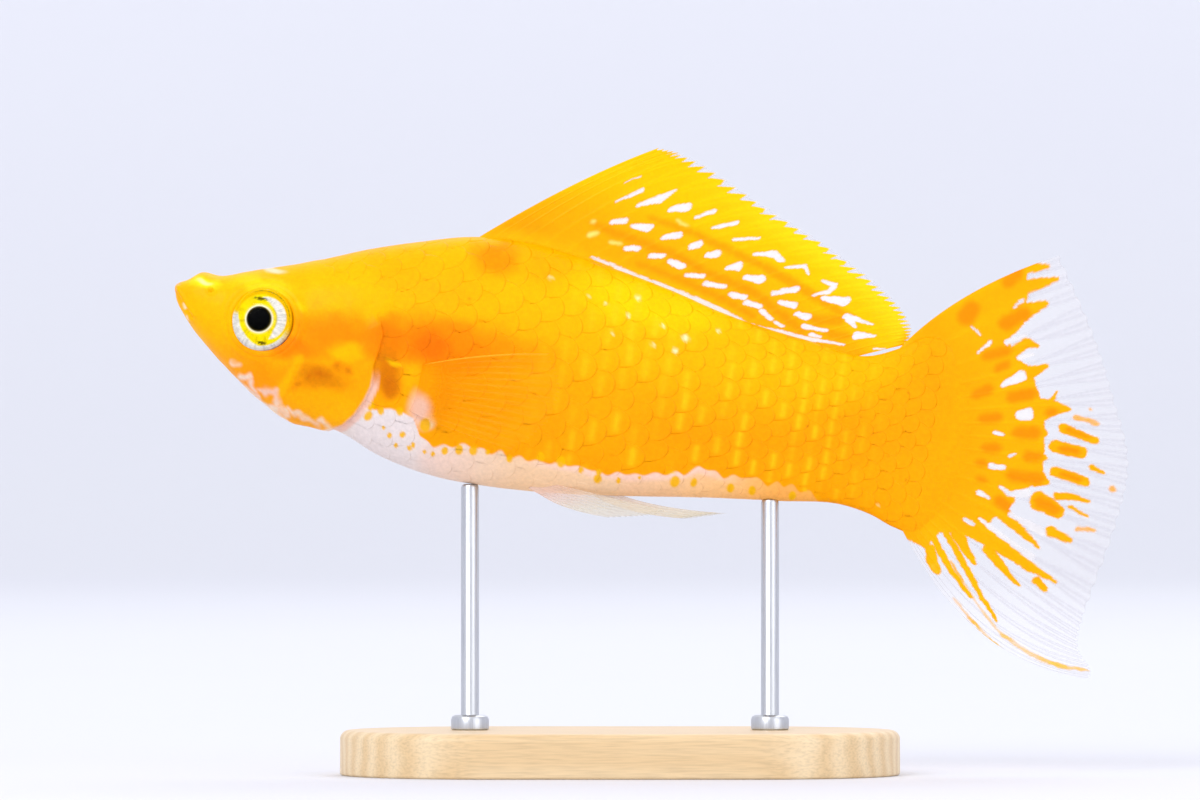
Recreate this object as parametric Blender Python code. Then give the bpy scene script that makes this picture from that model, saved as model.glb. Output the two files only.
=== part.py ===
"""A gold sailfin molly, life size, as a still display model on a flat base with two short rods.

The fish is shaped in its own frame: X runs from the tip of the snout towards the tail, Z up, and Y = 0
is its mid-plane. An empty then lifts it over the base and tips its nose up, as it swam. The left side
of the fish faces -Y. Lengths are written in millimetres and multiplied by MM.
"""

import math

import bmesh
import bpy
import numpy as np
from mathutils import Vector

MM = 0.001

# Driving sizes
STANDARD_LENGTH = 77.3 * MM
NOSE_UP_DEG = 10.0
SNOUT_TIP = Vector((-44.5, 0.0, 48.8)) * MM
GAP = 0.3 * MM
SNOUT_POINT = 0.05 * MM
FIN_MEMBRANE = 0.5 * MM
FIN_RAY = 0.72 * MM
FIN_RAY_TAPER = 0.7
FIN_NOTCH = 0.035
SHARP_EDGE_DEG = 35.0

# Sections of the body in mm: distance from the snout, back, belly, half width, height of the widest
# place as a share of the depth, and how square the section is above and below that place.
BODY_SECTIONS = (
    (0.0, 0.00, 0.00, 0.00, 0.50, 2.0, 2.0),
    (0.3, 0.45, -0.85, 1.50, 0.50, 2.2, 2.1),
    (1.2, 0.95, -2.20, 2.35, 0.50, 2.4, 2.1),
    (2.4, 1.90, -3.70, 2.90, 0.50, 2.5, 2.1),
    (4.6, 1.98, -5.60, 3.55, 0.48, 2.6, 2.0),
    (7.0, 2.85, -7.45, 4.20, 0.46, 2.6, 1.9),
    (10.0, 3.85, -9.55, 4.80, 0.45, 2.5, 1.9),
    (14.0, 5.30, -11.35, 5.30, 0.46, 2.4, 1.8),
    (18.5, 7.15, -11.40, 5.60, 0.48, 2.2, 1.8),
    (23.0, 8.65, -13.10, 5.70, 0.50, 2.1, 1.8),
    (29.0, 10.25, -14.20, 5.75, 0.52, 2.0, 1.9),
    (34.0, 10.60, -14.25, 5.60, 0.52, 1.9, 2.0),
    (40.0, 9.95, -13.85, 5.25, 0.52, 1.9, 2.1),
    (48.0, 8.55, -12.80, 4.45, 0.51, 1.9, 2.1),
    (56.0, 6.70, -11.55, 3.55, 0.50, 2.0, 2.1),
    (63.0, 5.80, -10.65, 2.75, 0.50, 2.1, 2.1),
    (70.0, 5.45, -9.95, 1.90, 0.50, 2.2, 2.2),
    (75.0, 5.45, -9.75, 1.05, 0.50, 2.3, 2.3),
    (77.5, 4.90, -9.20, 0.45, 0.50, 2.3, 2.3),
)
BODY_RINGS = 36
BODY_COLUMNS = 24

# Where the body is parted, in the fish's frame
GILL_LINE_X = 21.3 * MM
GILL_LINE_BEND_Z = -5.0 * MM
GILL_LINE_BEND = 89.0
STALK_X = 62.5 * MM

# A block that clears the body on every side, from which the cutters take their ends
FAR_FRONT = -6.0 * MM
FAR_REAR = 90.0 * MM
HIGH = 16.0 * MM
LOW = -18.0 * MM
WIDE = 14.0 * MM

# Gill covers: the front edge from its top to its foot, the plate's thickness and the pocket behind it
GILL_COVER_FRONT = ((24.0, 1.4), (18.0, 1.4), (14.2, -1.2), (12.5, -7.0), (13.2, -10.6), (16.0, -14.0))
GILL_COVER_ROUNDING = 3
GILL_COVER_THICK = 0.8 * MM
GILL_COVER_INNER_Y = 1.2 * MM

# Lower jaw: the cut from the lips back to the corner of the mouth and down to the chin
JAW_CUT = ((-2.0, 0.35), (0.2, -0.75), (2.6, -2.9), (4.2, -4.6), (5.9, -8.6))

# Eyes: flattened balls, turned forwards and leant back to lie along the tapering head
EYE_CENTRE = (9.4, 3.55, -1.75)
EYE_RADIUS = 3.2 * MM
EYE_HALF_DEPTH = 2.0 * MM
EYE_SEGMENTS = 20
EYE_RINGS = 10
EYE_TURN_DEG = 10.0
EYE_LEAN_DEG = 5.0

# Fins, in mm in the fish's frame: guide rays from front to back or top to bottom, each with its root,
# a point that it bends towards and its tip. The other rays lie between these. A paired fin's guides are
# in its own frame, at its root, and its turn is how far its foot leans in and its tips flare out.
DORSAL_GUIDES = (
    ((28.4, 9.6), (37.4, 17.6), (45.2, 22.1)),
    ((33.6, 10.0), (42.2, 18.8), (49.0, 21.6)),
    ((41.0, 8.8), (49.2, 16.4), (56.4, 18.4)),
    ((49.0, 7.4), (56.6, 13.6), (64.0, 15.2)),
    ((57.0, 5.6), (63.4, 10.8), (70.0, 12.0)),
    ((63.0, 4.9), (67.6, 8.1), (73.0, 9.3)),
    ((67.0, 4.6), (69.8, 6.4), (72.5, 7.4)),
)
DORSAL_RAYS = 16
CAUDAL_GUIDES = (
    ((73.4, 5.0), (76.8, 13.2), (86.6, 18.5)),
    ((75.5, 3.4), (83.4, 7.0), (91.2, 11.6)),
    ((76.0, 0.6), (84.8, 2.8), (94.4, 5.6)),
    ((76.0, -2.0), (87.0, -0.8), (97.1, -0.8)),
    ((75.5, -4.4), (86.4, -5.8), (96.9, -7.4)),
    ((74.8, -6.4), (85.4, -11.8), (95.4, -16.2)),
    ((74.6, -7.6), (84.4, -16.8), (95.3, -19.7)),
    ((74.5, -8.5), (84.4, -22.0), (96.9, -21.7)),
    ((74.2, -9.0), (84.0, -23.6), (97.1, -22.7)),
)
CAUDAL_RAYS = 19
CAUDAL_SWEEP = 3.0 * MM
DORSAL_SWEEP = 1.6 * MM
SWEEP_AT_FIRST_RAY = 0.3
PECTORAL_GUIDES = (
    ((0.0, 2.3), (7.0, 5.0), (13.8, 6.0)),
    ((0.0, 1.0), (7.6, 2.4), (15.4, 2.9)),
    ((0.0, -0.6), (7.2, -0.8), (14.6, -0.9)),
    ((0.0, -2.2), (5.8, -3.4), (11.6, -4.3)),
)
PECTORAL_RAYS = 10
PECTORAL_ROOT = (24.8, 5.5, -6.0)
PECTORAL_TURN = (6.0, 12.0)
PELVIC_GUIDES = (
    ((0.0, 0.6), (5.8, 0.1), (13.2, -0.3)),
    ((-0.4, 0.0), (4.8, -1.1), (11.4, -1.1)),
    ((-0.9, -0.5), (2.6, -2.2), (7.6, -2.0)),
)
PELVIC_RAYS = 6
PELVIC_ROOT = (39.2, 1.7, -13.2)
PELVIC_TURN = (14.0, 3.0)
ANAL_GUIDES = (
    ((45.4, -12.2), (49.6, -13.7), (58.4, -12.7)),
    ((43.6, -12.6), (47.0, -14.8), (54.6, -13.9)),
)
ANAL_RAYS = 4

# Stand
BASE_LENGTH = 56.0 * MM
BASE_WIDTH = 30.0 * MM
BASE_HEIGHT = 4.5 * MM
BASE_EDGE = 0.9 * MM
ROD_RADIUS = 0.9 * MM
ROD_FEET_X = (-15.0 * MM, 15.0 * MM)
ROD_SOCKET = 2.5 * MM
ROD_UNCUT_TOP = 36.0 * MM
ROD_SIDES = 20


def smooth_through(table, column, at):
    """The smooth curve through one column of a table whose first column is x, read at the x values in at.

    It is a cubic between each two rows, with the slope at a row taken from its two neighbours. The
    curve is worked out over the root of x, which rounds off the snout.
    """
    rows = np.array(table, float)
    x = np.sqrt(rows[:, 0])
    y = rows[:, column]
    slope = np.gradient(y, x)
    at = np.sqrt(np.clip(at, 0.0, None))
    i = np.clip(np.searchsorted(x, at, side="right") - 1, 0, len(x) - 2)
    width = x[i + 1] - x[i]
    t = (at - x[i]) / width
    return (
        (2 * t**3 - 3 * t**2 + 1) * y[i]
        + (t**3 - 2 * t**2 + t) * width * slope[i]
        + (3 * t**2 - 2 * t**3) * y[i + 1]
        + (t**3 - t**2) * width * slope[i + 1]
    )


def body_ring(x, inset):
    """One section of the body at the distance x from the snout, drawn in by inset, as a list of points."""
    back, belly, half, share, above, below = (
        float(smooth_through(BODY_SECTIONS, column, x / MM)) for column in range(1, 7)
    )
    middle = (belly + share * (back - belly)) * MM
    up = back * MM - middle - inset
    down = middle - belly * MM - inset
    half = half * MM - inset
    ring = []
    for step in range(BODY_COLUMNS):
        angle = 2 * math.pi * step / BODY_COLUMNS
        upwards, sideways = math.cos(angle), math.sin(angle)
        rise, square = (up, above) if upwards > 0 else (down, below)
        ring.append(
            (
                x,
                math.copysign(half * abs(sideways) ** (2 / square), sideways),
                middle + math.copysign(rise * abs(upwards) ** (2 / square), upwards),
            )
        )
    return ring


def body_mesh(name, inset):
    """The whole body as one closed mesh, drawn in all round by inset, or swollen where that is negative."""
    first = math.sqrt(SNOUT_POINT + 6 * max(inset, 0.0))
    last = math.sqrt(STANDARD_LENGTH - inset)
    mesh = bmesh.new()
    rings = []
    for step in range(BODY_RINGS):
        x = (first + (last - first) * step / (BODY_RINGS - 1)) ** 2
        rings.append([mesh.verts.new(point) for point in body_ring(x, inset)])
    for front, rear in zip(rings, rings[1:]):
        for step in range(BODY_COLUMNS):
            after = (step + 1) % BODY_COLUMNS
            mesh.faces.new((front[step], front[after], rear[after], rear[step]))
    mesh.faces.new(rings[-1])
    tip = mesh.verts.new((rings[0][0].co.x - SNOUT_POINT, 0.0, 0.3 * rings[0][0].co.z))
    for step in range(BODY_COLUMNS):
        mesh.faces.new((tip, rings[0][(step + 1) % BODY_COLUMNS], rings[0][step]))
    return finished_mesh(name, mesh)


def finished_mesh(name, mesh):
    """The bmesh as mesh data, with its faces turned outwards."""
    mesh.normal_update()
    bmesh.ops.recalc_face_normals(mesh, faces=mesh.faces)
    data = bpy.data.meshes.new(name)
    mesh.to_mesh(data)
    mesh.free()
    return data


def placed(name, data, parent=None, material=None):
    """An object holding that mesh, shaded smooth except at its sharp edges."""
    thing = bpy.data.objects.new(name, data)
    bpy.context.scene.collection.objects.link(thing)
    thing.parent = parent
    if material is not None:
        data.materials.append(material)
    data.shade_smooth()
    data.set_sharp_from_angle(angle=math.radians(SHARP_EDGE_DEG))
    return thing


def helper(name, data, parent):
    """A cutter: it is left out of the model and drawn as a wire frame."""
    thing = placed(name, data, parent)
    thing.hide_render = True
    thing.display_type = "WIRE"
    return thing


def boolean(thing, operation, other):
    """Adds a Boolean with the exact solver."""
    modifier = thing.modifiers.new(f"{operation.lower()} {other.name}", "BOOLEAN")
    modifier.operation = operation
    modifier.object = other
    modifier.solver = "EXACT"


def prism(name, outline, y_low, y_high):
    """A side view outline, in metres, carried across from y_low to y_high."""
    mesh = bmesh.new()
    ends = [[mesh.verts.new((x, y, z)) for x, z in outline] for y in (y_low, y_high)]
    for end in ends:
        mesh.faces.new(end)
    for step in range(len(outline)):
        after = (step + 1) % len(outline)
        mesh.faces.new((ends[0][step], ends[0][after], ends[1][after], ends[1][step]))
    bmesh.ops.triangulate(mesh, faces=mesh.faces)
    return finished_mesh(name, mesh)


def rounded(points, rounds):
    """A bent line made smooth: each round cuts off every corner, a quarter of the way along its sides."""
    for _ in range(rounds):
        inner = []
        for (ax, az), (bx, bz) in zip(points, points[1:]):
            inner.append((0.75 * ax + 0.25 * bx, 0.75 * az + 0.25 * bz))
            inner.append((0.25 * ax + 0.75 * bx, 0.25 * az + 0.75 * bz))
        points = [points[0], *inner[1:-1], points[-1]]
    return points


def gill_line(shift):
    """The rear edge of the head from above the nape to below the throat, moved along the body by shift."""
    points = []
    for z in np.linspace(HIGH, LOW, 18):
        below = max(0.0, GILL_LINE_BEND_Z - z)
        points.append((GILL_LINE_X + shift - GILL_LINE_BEND * below**2, z))
    return points


def spread_rays(guides, count):
    """Rays spread evenly between the guide rays, each as its root, bend and tip."""
    guides = np.array(guides, float) * MM
    places = np.linspace(0.0, len(guides) - 1.0, count)
    rows = np.arange(len(guides))
    flat = guides.reshape(len(guides), -1)
    return np.stack([np.interp(places, rows, flat[:, k]) for k in range(6)], axis=1).reshape(count, 3, 2)


def fin_mesh(name, guides, count, steps, sweep=0.0):
    """A fin as a thin closed solid, thicker along each ray, with the rays' tips standing out.

    Every ray is a bent line from root to tip, and sweep carries the last ray's tip sideways, the first
    one's less. Between two rays the membrane stops short of their tips by a share of the ray.
    """
    rays = spread_rays(guides, 2 * count - 1)
    sweeps = sweep * np.linspace(SWEEP_AT_FIRST_RAY, 1.0, len(rays))
    mesh = bmesh.new()
    sheets = {-1: [], 1: []}
    for row, (root, bend, tip) in enumerate(rays):
        is_ray = row % 2 == 0
        reach = 1.0 if is_ray else 1.0 - FIN_NOTCH
        for side in sheets:
            line = []
            for step in range(steps + 1):
                u = reach * step / steps
                x, z = (1 - u) ** 2 * root + 2 * u * (1 - u) * bend + u**2 * tip
                thick = FIN_MEMBRANE + (FIN_RAY - FIN_MEMBRANE) * (1 - FIN_RAY_TAPER * u) * is_ray
                line.append(mesh.verts.new((x, sweeps[row] * u**2 + side * thick / 2, z)))
            sheets[side].append(line)
    last_row, last_step = len(rays) - 1, steps
    for side in sheets:
        for row in range(last_row):
            a, b = sheets[side][row], sheets[side][row + 1]
            for step in range(last_step):
                mesh.faces.new((a[step], b[step], b[step + 1]))
                mesh.faces.new((a[step], b[step + 1], a[step + 1]))
    near, far = sheets[-1], sheets[1]
    for row in range(last_row):
        for step in (0, last_step):
            mesh.faces.new((near[row][step], near[row + 1][step], far[row + 1][step], far[row][step]))
    for step in range(last_step):
        for row in (0, last_row):
            mesh.faces.new((near[row][step], near[row][step + 1], far[row][step + 1], far[row][step]))
    return finished_mesh(name, mesh)


def surface_material(name, colour, roughness, metallic=0.0):
    """A Principled material."""
    material = bpy.data.materials.new(name)
    material.use_nodes = True
    shader = material.node_tree.nodes["Principled BSDF"]
    shader.inputs["Base Color"].default_value = (*colour, 1.0)
    shader.inputs["Roughness"].default_value = roughness
    shader.inputs["Metallic"].default_value = metallic
    return material


def jaw_region(shift):
    """The side view of all that lies under the line of the mouth, which is moved up and back by shift."""
    return [*((x * MM + shift, z * MM + shift) for x, z in JAW_CUT), (FAR_FRONT, LOW)]


def make_body(fish, flesh):
    """Head, lower jaw, trunk and tail stalk, parted from one body shape. Returns the shape and the head."""
    whole = body_mesh("body_shape", 0.0)
    stalk_start, trunk_end = STALK_X + GAP / 2, STALK_X - GAP / 2
    regions = {
        "head": [(FAR_FRONT, HIGH), *gill_line(-GAP / 2), (FAR_FRONT, LOW)],
        "trunk": [*gill_line(GAP / 2), (trunk_end, LOW), (trunk_end, HIGH)],
        "tail_stalk": [(stalk_start, HIGH), (stalk_start, LOW), (FAR_REAR, LOW), (FAR_REAR, HIGH)],
        "lower_jaw": jaw_region(-GAP / 3),
    }
    pieces = {}
    for name, outline in regions.items():
        pieces[name] = placed(name, whole.copy(), fish, flesh)
        region = prism(f"region_{name}", outline, -WIDE, WIDE)
        boolean(pieces[name], "INTERSECT", helper(f"region_{name}", region, fish))
    return whole, pieces["head"]


def make_gill_covers(fish, whole, head, flesh):
    """Two curved plates lifted from the sides of the head, each in a pocket with a hair of clearance."""
    inner = helper("cover_inside", body_mesh("cover_inside", GILL_COVER_THICK), fish)
    pocket_floor = helper("pocket_floor", body_mesh("pocket_floor", GILL_COVER_THICK + GAP), fish)
    front = rounded([(x * MM, z * MM) for x, z in GILL_COVER_FRONT], GILL_COVER_ROUNDING)
    for name, side in (("left", -1), ("right", 1)):
        plate = [*front, (front[0][0], LOW)]
        window = [(x - GAP * (x < front[0][0]), z + GAP) for x, z in plate]
        spans = sorted((side * GILL_COVER_INNER_Y, side * WIDE))
        wider = sorted((side * (GILL_COVER_INNER_Y - GAP), side * WIDE))
        cover = placed(f"gill_cover_{name}", whole.copy(), fish, flesh)
        boolean(cover, "INTERSECT", helper(f"plate_{name}", prism(f"plate_{name}", plate, *spans), fish))
        boolean(cover, "INTERSECT", bpy.data.objects["region_head"])
        boolean(cover, "DIFFERENCE", inner)
        pocket = helper(f"pocket_{name}", prism(f"pocket_{name}", window, *wider), fish)
        boolean(pocket, "DIFFERENCE", pocket_floor)
        boolean(head, "DIFFERENCE", pocket)


def make_eyes(fish, head, material):
    """Two flattened balls, each in a socket cut into the head with a hair of clearance."""
    for name, side in (("left", -1), ("right", 1)):
        for swell, role in ((0.0, "eye"), (GAP, "socket")):
            mesh = bmesh.new()
            bmesh.ops.create_uvsphere(mesh, u_segments=EYE_SEGMENTS, v_segments=EYE_RINGS, radius=1.0)
            # The ball's pole points outwards, along Y.
            for vert in mesh.verts:
                across, outwards, upwards = vert.co.x, vert.co.z, vert.co.y
                wide, deep = EYE_RADIUS + swell, EYE_HALF_DEPTH + swell
                vert.co = Vector((across * wide, outwards * deep, upwards * wide))
            data = finished_mesh(f"{role}_{name}", mesh)
            if role == "eye":
                ball = placed("eye_" + name, data, fish, material)
            else:
                ball = helper("socket_" + name, data, fish)
                boolean(head, "DIFFERENCE", ball)
            x, y, z = EYE_CENTRE
            lean, turn = math.radians(EYE_LEAN_DEG), math.radians(EYE_TURN_DEG)
            ball.location = Vector((x, side * y, z)) * MM
            ball.rotation_euler = (side * lean, 0.0, side * turn)


def part_jaws(fish, head):
    """Clears the lower jaw out of the head, with a thin gap along the line of the mouth."""
    gape = prism("gape", jaw_region(GAP / 3), -WIDE, WIDE)
    boolean(head, "DIFFERENCE", helper("gape", gape, fish))


def make_fins(fish, swollen, clear_fin, gold_fin):
    """The fins along the mid-plane, then the paired ones. Each root is cut to the body's own surface."""
    middle = (
        ("dorsal_fin", DORSAL_GUIDES, DORSAL_RAYS, 6, DORSAL_SWEEP, gold_fin),
        ("caudal_fin", CAUDAL_GUIDES, CAUDAL_RAYS, 7, CAUDAL_SWEEP, gold_fin),
        ("anal_fin", ANAL_GUIDES, ANAL_RAYS, 6, 0.0, clear_fin),
    )
    for name, guides, count, steps, sweep, material in middle:
        fin = placed(name, fin_mesh(name, guides, count, steps, sweep), fish, material)
        boolean(fin, "DIFFERENCE", swollen)
    paired = (
        ("pectoral_fin", PECTORAL_GUIDES, PECTORAL_RAYS, PECTORAL_ROOT, PECTORAL_TURN, gold_fin),
        ("pelvic_fin", PELVIC_GUIDES, PELVIC_RAYS, PELVIC_ROOT, PELVIC_TURN, clear_fin),
    )
    for name, guides, count, root, (lean, flare), material in paired:
        for label, side in (("left", -1), ("right", 1)):
            data = fin_mesh(f"{name}_{label}", guides, count, 5)
            fin = placed(f"{name}_{label}", data, fish, material)
            fin.location = Vector((root[0], side * root[1], root[2])) * MM
            fin.rotation_euler = (-side * math.radians(lean), 0.0, side * math.radians(flare))
            boolean(fin, "DIFFERENCE", swollen)


def make_stand(swollen, base_material, rod_material):
    """A base with round ends and a softened edge, and two rods from sockets in it up to the fish's belly."""
    mesh = bmesh.new()
    end_radius = BASE_WIDTH / 2
    straight = (BASE_LENGTH - BASE_WIDTH) / 2
    outline = []
    for step in range(48):
        angle = 2 * math.pi * (step + 0.5) / 48
        shift = math.copysign(straight, math.cos(angle))
        outline.append((shift + end_radius * math.cos(angle), end_radius * math.sin(angle)))
    floor = [mesh.verts.new((x, y, 0.0)) for x, y in outline]
    underside = mesh.faces.new(floor)
    raised = bmesh.ops.extrude_face_region(mesh, geom=[underside])["geom"]
    top = [v for v in raised if isinstance(v, bmesh.types.BMVert)]
    bmesh.ops.translate(mesh, verts=top, vec=(0.0, 0.0, BASE_HEIGHT))
    rim = [e for e in mesh.edges if all(v.co.z > BASE_HEIGHT / 2 for v in e.verts)]
    bmesh.ops.bevel(mesh, geom=rim, offset=BASE_EDGE, segments=2, profile=0.5, affect="EDGES")
    base = placed("stand_base", finished_mesh("stand_base", mesh), None, base_material)

    socket_floor = BASE_HEIGHT - ROD_SOCKET
    for name, x in zip(("front", "rear"), ROD_FEET_X):
        sizes = (("rod", ROD_RADIUS, socket_floor + GAP), ("bore", ROD_RADIUS + GAP, socket_floor))
        for role, radius, low in sizes:
            mesh = bmesh.new()
            bmesh.ops.create_cone(
                mesh,
                cap_ends=True,
                segments=ROD_SIDES,
                radius1=radius,
                radius2=radius,
                depth=ROD_UNCUT_TOP - low,
            )
            data = finished_mesh(f"{role}_{name}", mesh)
            if role == "rod":
                rod = placed(f"stand_rod_{name}", data, None, rod_material)
                boolean(rod, "DIFFERENCE", swollen)
            else:
                rod = helper(f"bore_{name}", data, None)
                boolean(base, "DIFFERENCE", rod)
            rod.location = (x, 0.0, (ROD_UNCUT_TOP + low) / 2)


def main():
    for thing in list(bpy.data.objects):
        bpy.data.objects.remove(thing)
    flesh = surface_material("gold_skin", (1.0, 0.42, 0.0), 0.4)
    gold_fin = surface_material("gold_fin", (1.0, 0.5, 0.02), 0.4)
    clear_fin = surface_material("clear_fin", (0.86, 0.72, 0.62), 0.4)
    eye = surface_material("eye", (0.75, 0.7, 0.25), 0.2)
    base = surface_material("stand_base", (0.8, 0.8, 0.82), 0.5)
    steel = surface_material("stand_rod", (0.62, 0.63, 0.65), 0.3, 1.0)

    fish = bpy.data.objects.new("fish", None)
    bpy.context.scene.collection.objects.link(fish)
    fish.location = SNOUT_TIP
    fish.rotation_euler = (0.0, math.radians(NOSE_UP_DEG), 0.0)

    swollen = helper("swollen_body", body_mesh("swollen_body", -GAP), fish)
    whole, head = make_body(fish, flesh)
    make_gill_covers(fish, whole, head, flesh)
    make_eyes(fish, head, eye)
    part_jaws(fish, head)
    make_fins(fish, swollen, clear_fin, gold_fin)
    make_stand(swollen, base, steel)


main()
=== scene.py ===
import math

import bpy
import numpy as np
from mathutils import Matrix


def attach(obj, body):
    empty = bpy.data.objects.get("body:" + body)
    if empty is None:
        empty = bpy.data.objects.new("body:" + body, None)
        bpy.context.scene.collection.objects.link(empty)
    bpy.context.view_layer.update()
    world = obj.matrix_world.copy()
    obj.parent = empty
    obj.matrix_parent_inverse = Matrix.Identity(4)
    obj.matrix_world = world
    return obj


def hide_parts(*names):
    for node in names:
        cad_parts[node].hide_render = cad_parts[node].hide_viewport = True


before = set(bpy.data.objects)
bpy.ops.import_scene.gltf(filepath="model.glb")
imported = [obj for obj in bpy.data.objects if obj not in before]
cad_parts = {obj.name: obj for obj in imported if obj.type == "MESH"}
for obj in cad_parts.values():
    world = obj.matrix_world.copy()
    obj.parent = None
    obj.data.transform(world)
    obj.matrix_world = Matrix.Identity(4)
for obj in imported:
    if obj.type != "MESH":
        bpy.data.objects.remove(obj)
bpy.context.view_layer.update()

# A gold sailfin molly as a still display model, life size, on a maple base with two steel rods. The fish
# is worked out in millimetres in its own frame: x back from the tip of the snout, z up, y = 0 its
# mid-plane and -y its left side. in_world() then tips its nose up and sets it over the base.


# Studio
# A wide pale bowl of matt painted plaster is floor and backdrop in one, lit by soft lamps and a pale sky.
# The camera looks straight at the fish's left side from 1.2 m, level with its middle.

VIEW_CENTRE = (-0.0020, 0.0375)
CAMERA_DISTANCE = 1.2
CAMERA_LENS = 360.0
BOWL_FLAT_RADIUS = 1.3
BOWL_RADIUS = 2.7
BOWL_HEIGHT = 1.4
BOWL_CURVE = 2.2
BOWL_RINGS = 49
BOWL_AROUND = 97


def linear(code):
    """An sRGB hex colour as linear red, green and blue: a 2.4 power, or a 12.92th where it is very dark."""
    value = np.array([int(code[k:k + 2], 16) for k in (1, 3, 5)]) / 255
    return np.where(value <= 0.04045, value / 12.92, ((value + 0.055) / 1.055) ** 2.4)


def rgba(code):
    """An sRGB hex colour as a socket takes it."""
    return (*linear(code), 1.0)


def node(material, kind, out=0, **values):
    """Adds a shader node and gives its output out. A value with a capital name is for that input, one
    named in_2 for the input at that place, and any other for a setting. Another node's output is linked."""
    added = material.node_tree.nodes.new("ShaderNode" + kind)
    for name, value in values.items():
        key = int(name[3:]) if name.startswith("in_") else name
        if isinstance(value, bpy.types.NodeSocket):
            material.node_tree.links.new(value, added.inputs[key])
        elif key == name and name[0].islower():
            setattr(added, name, value)
        else:
            added.inputs[key].default_value = value
    return added.outputs[out]


def finish(name, **sockets):
    """A new material, its Principled shader with constant values on its own sockets, and the material's
    Object coordinates."""
    material = bpy.data.materials.new(name)
    material.use_nodes = True
    shader = material.node_tree.nodes["Principled BSDF"]
    for socket, value in sockets.items():
        shader.inputs[socket.replace("_", " ")].default_value = value
    return material, shader, node(material, "TexCoord", "Object")


def join(material, shader, **outputs):
    """Links nodes' outputs to the shader's sockets."""
    for name, output in outputs.items():
        material.node_tree.links.new(output, shader.inputs[name.replace("_", " ")])


def grid_quads(rows, columns):
    """The corners of a grid's faces as vertex numbers and as shares of the way across it, row by row. The
    grid has rows x columns points."""
    row, column = np.meshgrid(np.arange(rows - 1), np.arange(columns - 1), indexing="ij")
    corners = ((0, 0), (0, 1), (1, 1), (1, 0))
    number = np.stack([(row + a) * columns + column + b for a, b in corners], -1).reshape(-1, 4)
    share = np.stack(
        [np.stack([(row + a) / (rows - 1), (column + b) / (columns - 1)], -1) for a, b in corners], -2
    ).reshape(-1, 4, 2)
    return number, share


def ring_quads(rings, around):
    """The faces and shares of a grid of closed rings, each of so many points around."""
    number, share = grid_quads(rings, around + 1)
    return number // (around + 1) * around + number % (around + 1) % around, share


def plate_faces(rows, columns):
    """The faces of a closed plate of two like grids: the near grid's, the far grid's the other way round and
    the wall round their rim. With them go the grid's shares and the number of faces in the wall."""
    quads, share = grid_quads(rows, columns)
    count = rows * columns
    number = np.arange(count).reshape(rows, columns)
    rim = np.concatenate([number[0, :-1], number[:-1, -1], number[-1, :0:-1], number[:0:-1, 0]])
    after = np.roll(rim, -1)
    wall = np.stack([rim, after, after + count, rim + count], -1)
    return np.concatenate([quads[:, ::-1], quads + count, wall]), share, len(wall)


def piece(name, points, faces, uv, material, smooth=True, **values):
    """An object from points in metres and faces as rows of vertex numbers. uv holds a place for each corner
    of each face, smooth is one answer or one for each face, and values are attributes of the points: three
    numbers make a colour, one a number."""
    mesh = bpy.data.meshes.new(name)
    mesh.from_pydata(points.reshape(-1, 3).tolist(), [], faces if isinstance(faces, list) else faces.tolist())
    mesh.polygons.foreach_set("use_smooth", np.full(len(mesh.polygons), False) | smooth)
    if uv is not None:
        layer = mesh.uv_layers.new(name="OFBake")
        layer.data.foreach_set("uv", uv.reshape(-1).astype(np.float32))
    for label, value in values.items():
        if value.ndim > 1:
            four = np.ones((len(points.reshape(-1, 3)), 4), np.float32)
            four[:, :3] = value.reshape(-1, 3)
            mesh.attributes.new(label, "FLOAT_COLOR", "POINT").data.foreach_set("color", four.reshape(-1))
        else:
            mesh.attributes.new(label, "FLOAT", "POINT").data.foreach_set("value", value.astype(np.float32))
    mesh.materials.append(material)
    mesh.update()
    thing = bpy.data.objects.new(name, mesh)
    bpy.context.scene.collection.objects.link(thing)
    return thing


def make_bowl():
    """A turned profile: level out to BOWL_FLAT_RADIUS, then rising as a power of the way to its rim."""
    outwards = BOWL_RADIUS * np.linspace(0, 1, BOWL_RINGS)[:, None] ** 0.9
    around = np.linspace(0, 2 * np.pi, BOWL_AROUND)
    climb = np.clip((outwards - BOWL_FLAT_RADIUS) / (BOWL_RADIUS - BOWL_FLAT_RADIUS), 0, 1)
    height = BOWL_HEIGHT * climb**BOWL_CURVE
    points = np.stack([outwards * np.cos(around), outwards * np.sin(around), height + 0 * around], -1)
    return points, grid_quads(BOWL_RINGS, BOWL_AROUND)[0][:, ::-1]


# Matt emulsion on plaster: a pale lavender white, paler up the sides, with a faint unevenness, so that the
# eye reads a surface. The floor is painted darker than the sides, a painted shade that keeps it from looking
# brighter than the backdrop under the lamps.
plaster, plaster_shader, plaster_place = finish("matt_painted_plaster", Roughness=0.9)
plaster_cloud = node(plaster, "TexNoise", Vector=plaster_place, Scale=2.5, Detail=3.0)
plaster_colour = node(plaster, "MixRGB", Fac=plaster_cloud, Color1=rgba("#F3F3FB"), Color2=rgba("#F7F8FB"))
plaster_height = node(plaster, "SeparateXYZ", "Z", Vector=plaster_place)
# Painted shade: darker on the floor, paler up the sides
plaster_floor_shade = node(plaster, "MapRange", Value=plaster_height, in_1=0.0, in_2=0.25, in_3=0.8, in_4=1.0)
plaster_tinted = node(
    plaster, "MixRGB", blend_type="MULTIPLY", Fac=1.0, Color1=plaster_colour, Color2=plaster_floor_shade
)
join(plaster, plaster_shader, Base_Color=plaster_tinted)
bowl_points, bowl_faces = make_bowl()
bowl = piece("studio_bowl", bowl_points, bowl_faces, None, plaster)

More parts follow.
